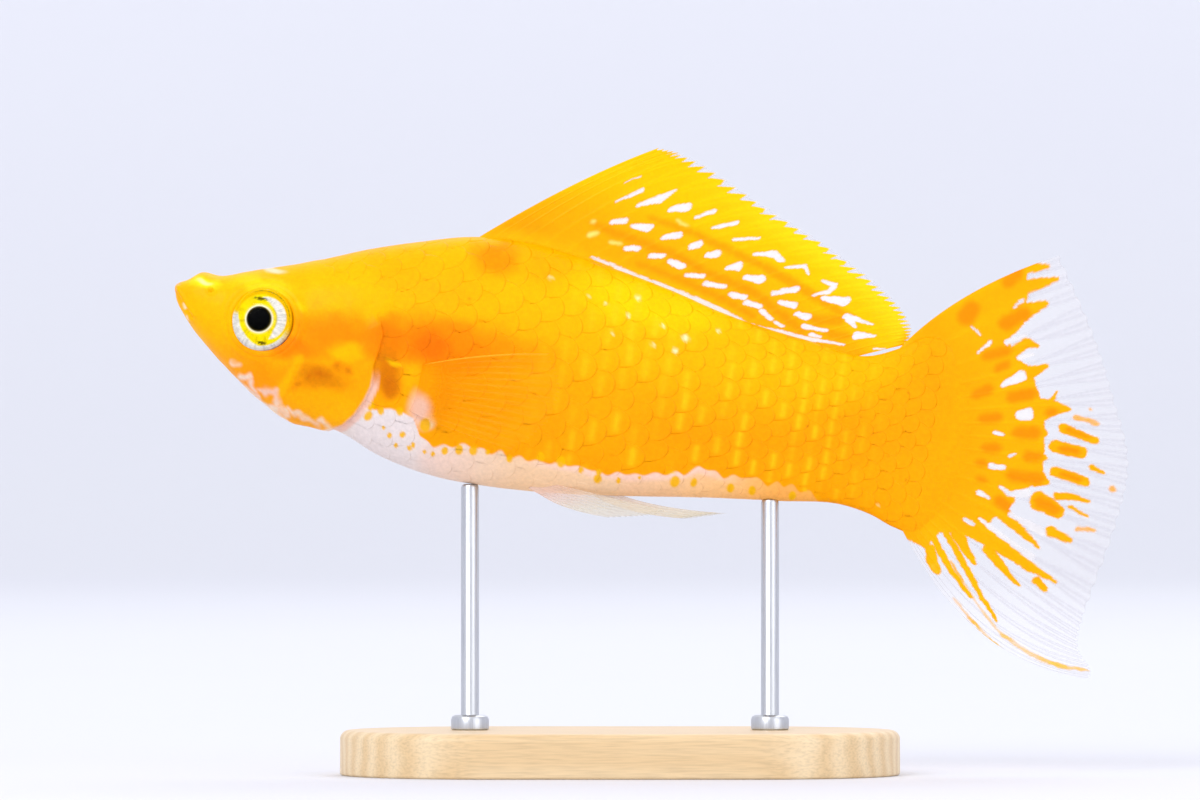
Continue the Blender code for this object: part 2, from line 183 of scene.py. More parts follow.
# Name, place, width and watts
LAMPS = (
    ("key", (-0.55, -1.0, 0.75), 0.7, 6.4),
    ("fill", (0.9, -0.9, 0.4), 0.9, 2.6),
    ("back", (0.25, 0.8, 1.0), 0.9, 3.4),
)
for lamp_name, lamp_place, lamp_size, lamp_watts in LAMPS:
    lamp_data = bpy.data.lights.new(lamp_name, "AREA")
    lamp_data.shape = "DISK"
    lamp_data.size = lamp_size
    lamp_data.energy = lamp_watts
    lamp = bpy.data.objects.new(lamp_name, lamp_data)
    lamp.location = lamp_place
    aim = np.array((VIEW_CENTRE[0], 0.0, VIEW_CENTRE[1])) - np.array(lamp_place)
    tip = math.acos(-aim[2] / np.linalg.norm(aim))
    lamp.rotation_euler = (tip, 0.0, math.atan2(aim[1], aim[0]) - math.pi / 2)
    bpy.context.scene.collection.objects.link(lamp)

sky = bpy.data.worlds.new("pale_sky")
sky.use_nodes = True
sky_sockets = sky.node_tree.nodes["Background"].inputs
sky_sockets["Color"].default_value = rgba("#F0F2FA")
sky_sockets["Strength"].default_value = 1.1
bpy.context.scene.world = sky
bpy.context.scene.view_settings.view_transform = "Standard"

camera_data = bpy.data.cameras.new("camera")
camera_data.lens = CAMERA_LENS
camera_data.clip_start = 0.01
camera_data.clip_end = 6.5
camera = bpy.data.objects.new("camera", camera_data)
camera.location = (VIEW_CENTRE[0], -CAMERA_DISTANCE, VIEW_CENTRE[1])
camera.rotation_euler = (math.pi / 2, 0.0, 0.0)
bpy.context.scene.collection.objects.link(camera)
bpy.context.scene.camera = camera


# The body's form
# Sections give the flesh its form, the same as the solids' up to 70 mm. The last seven draw it out into a
# thin fan over the root of the caudal fin. Skin, scales and the folds round the eyes are all laid on it.

SNOUT_TIP = (-44.5, 0.0, 48.8)
NOSE_UP = math.radians(10.0)

# Distance from the snout, back, belly, half width, height of the widest place as a share of the depth,
# and how square the section is above and below that place.
BODY_SECTIONS = np.array((
    (0.0, 0.00, 0.00, 0.00, 0.50, 2.0, 2.0),
    (0.3, 0.45, -0.85, 1.50, 0.50, 2.2, 2.1),
    (1.2, 0.95, -2.20, 2.35, 0.50, 2.4, 2.1),
    (2.4, 1.90, -3.70, 2.90, 0.50, 2.5, 2.1),
    (4.6, 1.98, -5.60, 3.55, 0.48, 2.6, 2.0),
    (7.0, 2.85, -7.45, 4.20, 0.46, 2.6, 1.9),
    (10.0, 3.85, -9.55, 4.80, 0.45, 2.5, 1.9),
    (14.0, 5.30, -11.35, 5.30, 0.46, 2.4, 1.8),
    (18.5, 7.15, -11.40, 5.60, 0.48, 2.2, 1.8),
    (23.0, 8.65, -13.10, 5.70, 0.50, 2.1, 1.8),
    (29.0, 10.25, -14.20, 5.75, 0.52, 2.0, 1.9),
    (34.0, 10.60, -14.25, 5.60, 0.52, 1.9, 2.0),
    (40.0, 9.95, -13.85, 5.25, 0.52, 1.9, 2.1),
    (48.0, 8.55, -12.80, 4.45, 0.51, 1.9, 2.1),
    (56.0, 6.70, -11.55, 3.55, 0.50, 2.0, 2.1),
    (63.0, 5.80, -10.65, 2.75, 0.50, 2.1, 2.1),
    (70.0, 5.45, -9.95, 1.90, 0.50, 2.2, 2.2),
    (72.5, 6.65, -10.40, 1.50, 0.50, 2.3, 2.3),
    (75.0, 8.20, -11.25, 1.00, 0.50, 2.3, 2.3),
    (77.5, 7.60, -11.30, 0.42, 0.50, 2.3, 2.3),
    (79.0, 5.40, -9.60, 0.20, 0.50, 2.2, 2.2),
    (80.3, 2.80, -7.20, 0.08, 0.50, 2.1, 2.1),
    (81.2, 0.40, -4.60, 0.035, 0.50, 2.0, 2.0),
    (81.6, -1.20, -3.00, 0.02, 0.50, 2.0, 2.0),
))
BODY_END = 81.5
TABLE_RINGS = 600
TABLE_ARC = 240
TABLE_START = 0.002


def in_world(points):
    """Places in the fish's frame in mm as places in the room in metres: tipped nose up about y, then moved
    so that the snout is at SNOUT_TIP."""
    x, y, z = points[..., 0], points[..., 1], points[..., 2]
    tipped = np.stack([
        x * math.cos(NOSE_UP) + z * math.sin(NOSE_UP),
        y,
        z * math.cos(NOSE_UP) - x * math.sin(NOSE_UP),
    ], -1)
    return (tipped + SNOUT_TIP) / 1000


def through(knots, values, at):
    """The smooth curve through values at knots, read at the places at: a cubic between each two, whose
    slope at a knot is taken from the knot's neighbours."""
    i = np.clip(np.searchsorted(knots, at, side="right") - 1, 0, len(knots) - 2)
    width = knots[i + 1] - knots[i]
    t = (at - knots[i]) / width
    slope = np.gradient(values, knots)
    return (
        (2 * t**3 - 3 * t**2 + 1) * values[i]
        + (t**3 - 2 * t**2 + t) * width * slope[i]
        + (3 * t**2 - 2 * t**3) * values[i + 1]
        + (t**3 - t**2) * width * slope[i + 1]
    )


def section(x):
    """Back, belly, half width, height of the widest place and the two squarenesses of the body at x, on
    smooth curves through the sections over the root of x, which rounds off the snout."""
    at = np.sqrt(np.clip(x, 0, BODY_SECTIONS[-1, 0]))
    knots = np.sqrt(BODY_SECTIONS[:, 0])
    back, belly, half, share, above, below = (through(knots, column, at) for column in BODY_SECTIONS.T[1:])
    return back, belly, half, belly + share * (back - belly), above, below


def body_tables():
    """Places on the body's right half and the normals there, ring by ring, at even shares of the way from
    the back round to the belly. A ring is a superellipse, its height and squareness changing at its widest
    place. The even shares come from one reading of every ring's length, laid end to end."""
    x = np.linspace(math.sqrt(TABLE_START), math.sqrt(BODY_END), TABLE_RINGS)[:, None] ** 2
    back, belly, half, middle, above, below = section(x)
    angle = np.linspace(0, np.pi, 4 * TABLE_ARC + 1)
    sideways, upwards = np.sin(angle), np.cos(angle)
    upper = upwards > 0
    rise = np.where(upper, back - middle, middle - belly)
    square = np.where(upper, above, below)
    y = half * np.abs(sideways) ** (2 / square)
    z = middle + rise * np.sign(upwards) * np.abs(upwards) ** (2 / square)
    length = np.cumsum(np.hypot(np.diff(y, axis=1), np.diff(z, axis=1)), axis=1)
    length = np.concatenate([np.zeros((TABLE_RINGS, 1)), length], axis=1)
    ring = 2.0 * np.arange(TABLE_RINGS)[:, None]
    laid = (ring + length / length[:, -1:]).ravel()
    wanted = (ring + np.linspace(0, 1, TABLE_ARC + 1)).ravel()
    places = np.stack([
        np.broadcast_to(x, (TABLE_RINGS, TABLE_ARC + 1)),
        np.interp(wanted, laid, y.ravel()).reshape(TABLE_RINGS, -1),
        np.interp(wanted, laid, z.ravel()).reshape(TABLE_RINGS, -1),
    ], -1)
    normals = np.cross(np.gradient(places, axis=0), np.gradient(places, axis=1))
    normals[:, 0, 1] = 0
    normals[:, -1, 1] = 0
    return places, normals / (np.linalg.norm(normals, axis=-1, keepdims=True) + 1e-12)


BODY_PLACES, BODY_NORMALS = body_tables()


def on_body(x, f, lift):
    """The place at x mm from the snout and at the share f of the way round from the back, 0, to the belly,
    1 on the right side and -1 on the left, raised by lift mm along the body's own normal."""
    f = (f + 1) % 2 - 1
    start = math.sqrt(TABLE_START)
    row = (np.sqrt(np.clip(x, TABLE_START, BODY_END)) - start) / (math.sqrt(BODY_END) - start)
    row = row * (TABLE_RINGS - 1)
    column = np.abs(f) * TABLE_ARC
    i = np.clip(row.astype(int), 0, TABLE_RINGS - 2)
    j = np.clip(column.astype(int), 0, TABLE_ARC - 1)
    a = (row - i)[..., None]
    b = (column - j)[..., None]
    read = [
        (1 - a) * ((1 - b) * table[i, j] + b * table[i, j + 1])
        + a * ((1 - b) * table[i + 1, j] + b * table[i + 1, j + 1])
        for table in (BODY_PLACES, BODY_NORMALS)
    ]
    point = read[0] + np.asarray(lift)[..., None] * read[1]
    point[..., 1] *= np.where(f < 0, -1, 1)
    return point


# Colours of the flesh
# A molly's gold is pigment in and under clear scales, so skin, scales and fin roots all take their colour
# from one reading of the place on the flank. Some marks are painted light: glints and lit patches on the
# snout, over the eye, on the brow and on the pectoral root are painted highlights, and the brown behind the
# gill cover and the line along its free edge are painted shade. The marks are placed by pixels of the
# 1200 x 800 picture.

BACK = "#FFB600"
FLANK = "#FFA400"
ORANGE = "#FC8800"
# Yellow of the painted highlights by the nostril and over the eye
HIGHLIGHT_YELLOW = "#FFE41C"
BROWN = "#CE6C00"
THROAT_WHITE = "#F3E2D2"
LAVENDER = "#E9DDDA"
BELLY_FRONT = "#F0DACC"
BELLY_REAR = "#F6D0A8"
BLUSH = "#FFD6C8"
MEMBRANE = "#F2C6B4"
BELLY_DOT = "#F8B800"
GLINT = "#FFF6C0"
LIP = "#F4B08A"

# Corners along a side of the lattice that cloud() reads
LATTICE = 64
SNOUT_PIXEL = (175.0, 287.0)
PIXELS_PER_MM = 10
BELLY_LINE = (
    (170, 300), (205, 362), (226, 380), (250, 400), (272, 412), (300, 427), (345, 428), (356, 414),
    (366, 406), (376, 410), (392, 409), (404, 412), (414, 418), (420, 436), (433, 445), (448, 446),
    (461, 444), (476, 448), (507, 455), (532, 460), (557, 463), (584, 467), (593, 471), (630, 475),
    (661, 474), (684, 473), (699, 467), (712, 471), (728, 477), (756, 479), (768, 484), (787, 484),
    (805, 492), (835, 508), (900, 560),
)
GILL_EDGE = (
    (372, 312), (382, 322), (385, 335), (381, 350), (375, 366), (375, 376), (373, 387), (366, 401),
    (356, 415), (344, 425), (328, 430),
)
STALK_BAND = ((620, 425), (700, 442), (800, 445), (925, 434))
# Dots: pixel across, pixel down and radius. Marks: the same with a half width, for each point of a line.
BELLY_DOTS = (
    (445, 450, 3.4), (459, 449, 4.3), (474, 450, 4), (488, 452, 2.4), (509, 459, 3.4), (541, 457, 4),
    (561, 462, 5), (580, 470, 3), (598, 472, 2.8), (597, 479, 4), (619, 480, 2.8), (640, 477, 1.6),
    (675, 481, 5), (694, 482, 4), (730, 488, 4), (752, 491, 4), (792, 495, 4), (371, 406, 4),
    (369, 416, 4.4), (382, 411, 3.4), (400, 411, 3.6), (390, 436, 2.6), (403, 435, 2.8), (426, 425, 5.5),
    (414, 445, 2.4), (396, 446, 2.2), (410, 448, 2.3), (425, 451, 1.8), (433, 453, 2.2), (384, 428, 1.8),
)
THROAT_PALES = (
    (230, 363, 1.8, 241, 365, 1.6), (239, 377, 2.6, 253, 378, 2.8), (251, 380, 2, 257, 394, 2),
    (261, 389, 3.8, 279, 393, 3.6), (277, 394, 2.2, 279, 406, 2.2), (273, 407, 4, 289, 414, 3.2),
    (289, 409, 1.6, 311, 418, 1.6), (296, 414, 1.8, 319, 423, 1.8), (318, 419, 2, 336, 427, 2),
    (240, 384, 2.5, 262, 402, 3), (262, 402, 3, 282, 418, 3), (228, 374, 1.6, 240, 384, 2.5),
)
COVER_MARKS = (
    (305, 378, 3.4, 316, 372, 4.6, 331, 376, 3.8), (336, 366, 3, 349, 369, 4.4, 355, 375, 2.4),
    (291, 388, 3, 302, 383, 3.4),
)
CHEEK_BAND = ((302, 357, 4, 292, 376, 4.5, 281, 394, 4.5),)
LIP_MARKS = ((183, 303, 0.5, 186, 309, 0.6), (188, 315, 0.5, 190, 320, 0.5))
# The glints are painted highlights
GLINTS = (
    (638, 298, 4), (628, 316, 3), (685, 338, 5), (675, 351, 4), (653, 345, 3), (663, 326, 3), (718, 331, 3),
    (606, 304, 2.5), (613, 334, 2.5), (551, 278, 3), (588, 296, 2.5), (878, 505, 2),
)
# Soft blots: colour, centre, half width and half height, strength
BLOTS = (
    ("#FFB800", (205, 318), (56, 46), 0.9), ("#FFBA00", (345, 276), (66, 24), 0.5),
    ("#FFAE00", (440, 280), (90, 40), 0.75), ("#FFD200", (655, 303), (120, 38), 0.8),
    ("#FFA800", (545, 270), (40, 26), 0.6), ("#FFB200", (330, 312), (60, 20), 0.5),
    (ORANGE, (446, 343), (96, 38), 1.0), ("#FF9000", (520, 352), (60, 26), 0.6),
    ("#EE7000", (430, 347), (32, 25), 0.9), ("#F27C00", (385, 338), (36, 32), 0.9),
    ("#FF8600", (336, 334), (66, 32), 0.9), ("#F48000", (294, 349), (42, 17), 0.9),
    ("#FF9200", (262, 378), (36, 26), 0.7), ("#EE9000", (496, 259), (34, 26), 0.95),
    ("#FFBC00", (347, 351), (24, 12), 0.8), ("#FFC800", (305, 306), (9, 7), 0.6),
    ("#FFB000", (330, 408), (52, 26), 0.85), ("#DA8000", (320, 377), (42, 17), 0.85),
    # Painted highlights: a lit patch on the snout by the nostril and a lit arc over the eye
    (HIGHLIGHT_YELLOW, (208, 284), (24, 9), 0.85), (HIGHLIGHT_YELLOW, (264, 286), (42, 13), 0.5),
    # Painted highlights: a pale lit spot on the snout and a pale highlight along the top of the brow
    ("#FFF0A0", (208, 283), (12, 4), 0.8), ("#FFEED8", (272, 270), (17, 4), 0.6),
    # Painted shade: brown in the hollow behind the gill cover, in front of the pectoral root
    ("#D67400", (391, 372), (21, 36), 0.95), (BROWN, (394, 388), (15, 15), 0.8),
    # The first is a painted highlight on the top of the pectoral root
    ("#FFC600", (399, 362), (15, 4), 0.7), ("#FFB000", (415, 378), (11, 22), 0.7),
    ("#F6CCB6", (419, 410), (14, 24), 0.9), ("#F8E2B4", (427, 424), (9, 11), 0.8),
    (LIP, (178, 285), (7, 5), 0.6),
)
DARK_SPECKS = (
    (807, 426), (839, 417), (861, 417), (888, 456), (908, 393), (906, 480), (470, 300), (702, 372),
)


def from_photo(pixels):
    """Pixels of the picture as x and z in mm in the fish's frame, at its mid-plane."""
    across, down = (np.array(pixels, float)[..., :2] - SNOUT_PIXEL).T / PIXELS_PER_MM
    x = across * math.cos(NOSE_UP) + down * math.sin(NOSE_UP)
    z = across * math.sin(NOSE_UP) - down * math.cos(NOSE_UP)
    return x, z


def smooth(low, high, value):
    """0 at low, 1 at high, and 3t² - 2t³ between them."""
    t = np.clip((value - low) / (high - low), 0, 1)
    return t * t * (3 - 2 * t)


def bell(value, width):
    """1 where value is 0, falling to 0.37 at width on either side."""
    return np.exp(-((value / width) ** 2))


def mixed(first, second, share):
    """first where share is 0 and second where it is 1, each a hex code or linear colours."""
    first, second = (linear(colour) if isinstance(colour, str) else colour for colour in (first, second))
    return first + (second - first) * np.asarray(share)[..., None]


def cloud(x, z, size, seed):
    """Smooth values between -1 and 1 that change over size mm: seeded values at the corners of a square
    lattice, blended by 3t² - 2t³ between them."""
    lattice = np.random.default_rng(seed).uniform(-1, 1, (LATTICE, LATTICE))
    a, b = x / size + 500.0, z / size + 500.0
    i, j = np.floor(a).astype(int), np.floor(b).astype(int)
    s, t = smooth(0, 1, a - i), smooth(0, 1, b - j)
    i, j, after_i, after_j = (k % LATTICE for k in (i, j, i + 1, j + 1))
    return (
        (1 - s) * ((1 - t) * lattice[i, j] + t * lattice[i, after_j])
        + s * ((1 - t) * lattice[after_i, j] + t * lattice[after_i, after_j])
    )


def spot(x, z, centre, size, edge=0.5):
    """A round or oval mark: 1 in its middle, falling to 0 at its rim over the outer share edge."""
    away = np.hypot((x - centre[0]) / size[0], (z - centre[1]) / size[1])
    return 1 - smooth(1 - edge, 1, away)


def drawn(x, z, marks, blur=0.9, slant=0.0, grow=0.0):
    """1 where marks were drawn on the picture as if by a flat brush, and 0 elsewhere, blended over blur
    pixels at the edges. A mark is a line of points, for each two pixel numbers and the brush's half width.
    Its ends are square with rounded corners, or lean by slant times their height, and grow widens it."""
    shade = np.zeros_like(x)
    for mark in marks:
        line = np.reshape(mark, (-1, 3))
        for (*a, a_half), (*b, b_half) in zip(line, line[1:]):
            start = np.array(from_photo(a))
            run = np.array(from_photo(b)) - start
            length = np.hypot(*run)
            along = ((x - start[0]) * run[0] + (z - start[1]) * run[1]) / length
            across = ((z - start[1]) * run[0] - (x - start[0]) * run[1]) / length
            half = a_half + (b_half - a_half) * np.clip(along / length, 0, 1)
            corner = 0.7 * half + blur
            past = PIXELS_PER_MM * np.abs(along - slant * across - length / 2) - PIXELS_PER_MM / 2 * length
            end = past - 0.6 * half
            beside = np.maximum(PIXELS_PER_MM * np.abs(across) - half + corner, 0)
            out = np.hypot(np.maximum(end + corner, 0), beside) - corner
            shade = np.maximum(shade, smooth(blur, -blur, out - grow))
    return shade


def from_line(x, z, line):
    """How far each place lies from an open line of pixels, in mm, above 0 on the left hand of one who walks
    along it and below 0 on the right, and how far along the line its nearest point is, from 0 to 1."""
    ends = np.stack(from_photo(line), -1)
    best = np.full(x.shape, 1e9)
    side = np.ones(x.shape)
    share = np.zeros(x.shape)
    for number, (a, b) in enumerate(zip(ends, ends[1:])):
        run = b - a
        px, pz = x - a[0], z - a[1]
        t = np.clip((px * run[0] + pz * run[1]) / (run @ run), 0, 1)
        away = np.hypot(px - t * run[0], pz - t * run[1])
        nearer = away < best
        best = np.where(nearer, away, best)
        side = np.where(nearer, np.sign(run[0] * pz - run[1] * px), side)
        share = np.where(nearer, (number + t) / (len(ends) - 1), share)
    return best * side, share


def belly_height(x):
    """The height of the line where gold gives way to the pale belly and throat."""
    return np.interp(x, *from_photo(BELLY_LINE))


def pigment(x, z, side):
    """The flesh's colour, painted highlights and shade included, by its place in the side view; side is -1 on
    the left and 1 on the right, where the small irregular marks fall differently."""
    x, z = np.broadcast_arrays(x, z)
    shift = np.where(side > 0, 131.0, 0.0)
    back, belly = section(x)[:2]
    depth = (back - z) / (back - belly)
    soft = cloud(x + shift, z, 4.0, 1)
    fine = cloud(x + shift, z, 1.1, 2)
    stalk = smooth(60, 74, x)
    colour = mixed(BACK, FLANK, smooth(0.2 - 0.25 * stalk, 0.62 - 0.24 * stalk, depth + 0.07 * soft))
    stalk_band, _ = from_line(x, z, STALK_BAND)
    colour = mixed(colour, "#FF9A00", 0.6 * bell(stalk_band, 2.4) * smooth(42, 54, x))
    for tint, centre, half, strength in BLOTS:
        place = from_photo(centre)
        size = np.array(half) / PIXELS_PER_MM
        mark = spot(x + 0.4 * soft, z + 0.4 * fine, place, size, 0.75)
        colour = mixed(colour, tint, strength * mark)
    mottle = drawn(x + 0.4 * fine, z + 0.3 * soft, COVER_MARKS, 5.0)
    mottle = mottle * (0.55 + 0.45 * smooth(-0.3, 0.4, cloud(x + shift, 1.3 * z, 0.6, 3)))
    colour = mixed(colour, BROWN, 0.9 * mottle)
    colour = mixed(colour, "#FFB400", 0.75 * drawn(x, z, CHEEK_BAND, 3.0))
    colour = mixed(colour, "#FFF0DC", 0.8 * drawn(x, z, LIP_MARKS, 0.9))
    colour = mixed(colour, "#FFA400", 0.85 * smooth(70, 76.5, x))
    colour = colour * (1 + 0.03 * soft + 0.02 * fine)[..., None]

    # The pale underside: its edge is scalloped by the scales, and beads of gold lie beyond it.
    drift = cloud(x + shift, 0 * z, 3.1, 8)
    drips = np.cos(2 * np.pi * x / 1.95 + 1.6 * drift) * (0.7 + 0.6 * cloud(x, 0 * z + shift, 2.3, 9))
    scallop = 0.26 * drips * smooth(26, 30, x) + 0.12 * fine
    under = smooth(-0.1, 0.1, belly_height(x) + scallop - z)
    pale = mixed(THROAT_WHITE, LAVENDER, smooth(17, 21, x))
    pale = mixed(pale, BELLY_FRONT, smooth(25, 30, x))
    pale = mixed(pale, BELLY_REAR, smooth(28, 38, x + 0.6 * soft))
    pale = mixed(pale, "#FFC47C", smooth(46, 62, x + 0.6 * soft))
    strip = smooth(0.9, 0.2, belly_height(x) - z) * smooth(36, 42, x) * smooth(60, 54, x)
    pale = mixed(pale, BLUSH, 0.8 * strip)
    pale = mixed(pale, "#F4B49C", 0.2 * smooth(0.2, 0.9, soft))
    fade = 1 - 0.55 * smooth(57, 64, x)
    colour = mixed(colour, pale, under * fade)
    veined = cloud(x + shift, z, 0.7, 4)
    throat = drawn(x + 0.34 * veined, z + 0.3 * cloud(x, z + shift, 0.6, 5), THROAT_PALES, 2.6)
    throat = throat * (0.7 + 0.3 * smooth(-0.5, 0.3, veined))
    colour = mixed(colour, mixed(THROAT_WHITE, MEMBRANE, smooth(-0.2, 0.6, soft)), 0.8 * throat)
    for *centre, radius in BELLY_DOTS:
        place = from_photo(centre)
        mark = spot(x + 0.12 * fine, z + 0.1 * soft, place, (radius / 8.5, radius / 7), 0.35)
        colour = mixed(colour, BELLY_DOT, 0.95 * mark)
    # Painted highlights: small glints of light on the scales
    for *centre, radius in GLINTS:
        place = from_photo(centre)
        mark = spot(x, z, place, (radius / PIXELS_PER_MM, radius / PIXELS_PER_MM), 0.8)
        colour = mixed(colour, GLINT, min(0.95, 0.2 + 0.17 * radius) * mark)
    for centre in DARK_SPECKS:
        colour = mixed(colour, "#B86A00", 0.5 * spot(x, z, from_photo(centre), (0.22, 0.22), 0.8))

    # The gill cover's free edge: a pink membrane below, a fine shade line above.
    edge, along = from_line(x, z, GILL_EDGE)
    membrane = smooth(-0.3, -0.05, edge) * smooth(0.72, 0.48, edge) * smooth(0.42, 0.6, along)
    colour = mixed(colour, MEMBRANE, 0.9 * membrane)
    shade = bell(edge - 0.25, 0.3) * smooth(0.02, 0.15, along) * smooth(0.62, 0.5, along)
    colour = mixed(colour, "#D87A00", 0.55 * shade)
    return np.clip(colour, 0, 1)


# Skin
# One skin covers head, jaws, gill covers, trunk and tail stalk with no seam. It is thin wet flesh under a
# clear film of slime, bare on the face, and it sinks a little where the scales begin.

EYE_CENTRE = (9.4, 3.55, -1.75)
EYE_RADIUS = 3.3
EYE_HALF_DEPTH = 2.0
SOCKET_RADIUS = 3.25
COAT_DEPTH = 0.065
SKIN_COLUMNS = 222
SKIN_RINGS = 428
HEAD_STEP = 0.1
TRUNK_STEP = 0.3
NOSTRIL = (212, 290)
MOUTH_LINE = ((174, 288), (180, 298), (187, 309), (195, 320))
CHEEK_RIDGE = ((298, 354), (291, 374), (281, 396))
CHEEK_CREASE = ((243, 352), (262, 360), (284, 358), (300, 346), (306, 330))


def gill_line(x, z):
    """How far a place lies behind the gill opening, in mm."""
    below = np.clip(-5.0 - z, 0, None)
    return x - (21.3 - 0.089 * below**2)


def scaled(x, z):
    """1 where scales cover the fish and 0 on the bare face: behind the gill opening and over the nape."""
    return np.maximum(smooth(-0.3, 1.2, gill_line(x, z)), smooth(13, 15, x) * smooth(3.0, 4.2, z))


def relief(x, z):
    """How far the skin stands out from the body's form, in mm, by its place in the side view: the socket,
    the lips, nostrils, cheek and gill cover are humps and grooves beside lines and round centres."""
    eye = np.hypot(x - EYE_CENTRE[0], z - EYE_CENTRE[2])
    out = -1.4 * smooth(SOCKET_RADIUS + 0.15, SOCKET_RADIUS - 0.35, eye)
    out += 0.12 * bell(eye - 3.95, 0.35)
    gape, along = from_line(x, z, MOUTH_LINE)
    closing = smooth(1.0, 0.9, along)
    out -= 0.22 * bell(gape, 0.11) * closing
    out += 0.12 * bell(np.abs(gape) - 0.34, 0.2) * closing
    nostril_x, nostril_z = from_photo(NOSTRIL)
    nostril = np.hypot(x - nostril_x, z - nostril_z)
    out = out - 0.3 * smooth(0.3, 0.12, nostril) + 0.07 * bell(nostril - 0.42, 0.14)
    ridge, along = from_line(x, z, CHEEK_RIDGE)
    ends = smooth(0.0, 0.2, along) * smooth(1.0, 0.8, along)
    out += 0.12 * bell(ridge, 0.4) * ends
    out -= 0.1 * bell(ridge - 0.7, 0.22) * ends
    crease, along = from_line(x, z, CHEEK_CREASE)
    ends = smooth(0.0, 0.25, along) * smooth(1.0, 0.75, along)
    out -= 0.08 * bell(crease, 0.25) * ends
    edge, along = from_line(x, z, GILL_EDGE)
    ends = smooth(0.0, 0.14, along)
    plate = smooth(-2.2, -0.3, edge) * smooth(0.12, -0.12, edge)
    furrow = smooth(-0.08, 0.12, edge) * smooth(1.3, 0.25, edge)
    out += (0.24 * plate - 0.22 * furrow) * ends
    jaw = belly_height(x) - z
    folds = smooth(-0.6, 0.3, jaw) * smooth(4, 7, x) * smooth(20, 17, x)
    out += 0.06 * np.cos(2 * np.pi * jaw / 0.8) * folds
    bare = 1 - scaled(x, z)
    return out + bare * (0.02 * cloud(x, z, 0.9, 11) + 0.03 * cloud(x, z, 3.0, 12))


def skin_rings():
    """The rings' distances from the snout: close on the head, wider along the trunk, closest at the tip."""
    x = np.linspace(0, BODY_END, 4000)
    step = HEAD_STEP + (TRUNK_STEP - HEAD_STEP) * smooth(20, 28, x)
    step = step * (0.25 + 0.75 * smooth(0, 1.2, x))
    count = np.cumsum(1 / step)
    return np.interp(np.linspace(count[0], count[-1], SKIN_RINGS), count, x + 0.01)


def pole_faces(rings, around):
    """The faces of closed rings with a point beyond each end; the two points come last. With them go the
    places on the map of the faces' corners."""
    quads, share = ring_quads(rings, around)
    here = np.arange(around)
    after = (here + 1) % around
    last = (rings - 1) * around
    pole = np.full(around, rings * around)
    fans = [np.stack([here, after, pole], -1), np.stack([last + after, last + here, pole + 1], -1)]
    places = [
        np.stack([np.zeros((around, 3)), (here[:, None] + (0, 1, 0.5)) / around], -1),
        np.stack([np.ones((around, 3)), (here[:, None] + (1, 0, 0.5)) / around], -1),
    ]
    faces = quads[:, ::-1].tolist() + np.concatenate(fans).tolist()
    return faces, np.concatenate([part.reshape(-1, 2) for part in (share[:, ::-1], *places)])


def make_skin():
    """Rings along the body, each once round it from belly to belly, closed by a point at both ends."""
    x, f = np.meshgrid(skin_rings(), np.linspace(-1, 1, SKIN_COLUMNS + 1)[:-1], indexing="ij")
    flat = on_body(x, f, 0.0)
    place_x, place_z = flat[..., 0], flat[..., 2]
    lift = relief(place_x, place_z) - COAT_DEPTH * scaled(place_x, place_z) * smooth(80.2, 78.0, x)
    lift = lift * smooth(0.0, 0.5, x)
    points = on_body(x, f, lift)
    colour = pigment(place_x, place_z, np.sign(flat[..., 1]))
    snout, tail = (0.0, 0.0, points[0, :, 2].mean()), points[-1].mean(axis=0)
    points = np.concatenate([points.reshape(-1, 3), [snout], [tail]])
    colour = np.concatenate([colour.reshape(-1, 3), [colour[0].mean(axis=0)], [colour[-1].mean(axis=0)]])
    return points, colour, *pole_faces(SKIN_RINGS, SKIN_COLUMNS)


def pigmented(name, noise, light, **sockets):
    """A material whose colour is its points' pigment and painted light, darker and lighter by fine noise.
    noise holds the noise's inputs, and light two of its values and the brightness at each. Gives the noise as
    well."""
    material, shader, place = finish(name, **sockets)
    colour = node(material, "Attribute", attribute_name="pigment")
    speckle = node(material, "TexNoise", Vector=place, **noise)
    shade = node(material, "MapRange", Value=speckle, **dict(zip(("in_1", "in_2", "in_3", "in_4"), light)))
    tinted = node(material, "MixRGB", blend_type="MULTIPLY", Fac=1.0, Color1=colour, Color2=shade)
    join(material, shader, Base_Color=tinted)
    return material, shader, place, speckle


def flesh_finish(name, spread):
    """Wet fish skin: the pigment under a clear film with faint soft lights. Light spreads a little in the
    flesh below, by the share spread, and fine grain breaks the gloss."""
    material, shader, place, speckle = pigmented(
        name,
        {"Scale": 2600.0, "Detail": 3.0, "Roughness": 0.6},
        (0.35, 0.7, 0.93, 1.04),
        Roughness=0.42,
        IOR=1.4,
        Specular_IOR_Level=0.07,
        Subsurface_Weight=spread,
        Subsurface_Radius=(1.0, 0.35, 0.12),
        Subsurface_Scale=0.0008,
        Coat_Weight=0.03,
        Coat_Roughness=0.12,
        Coat_IOR=1.38,
    )
    rough = node(material, "MapRange", Value=speckle, in_3=0.3, in_4=0.46)
    join(material, shader, Roughness=rough)
    return material, shader, place, speckle


# Living skin, bare: pores and faint cells about 0.35 mm across.
skin_material, skin_shader, skin_place, skin_speckle = flesh_finish("wet_fish_skin", 0.12)
skin_cells = node(skin_material, "TexVoronoi", Vector=skin_place, Scale=2800.0)
skin_height = node(
    skin_material, "Math", operation="MULTIPLY_ADD", in_0=skin_cells, in_1=0.5, in_2=skin_speckle
)
skin_bump = node(skin_material, "Bump", Strength=0.35, Distance=0.00005, Height=skin_height)
join(skin_material, skin_shader, Normal=skin_bump)

skin_points, skin_colour, skin_faces, skin_uv = make_skin()


def piece_of(name, points, *others, **values):
    """A piece whose points are in the fish's frame."""
    return piece(name, in_world(points), *others, **values)


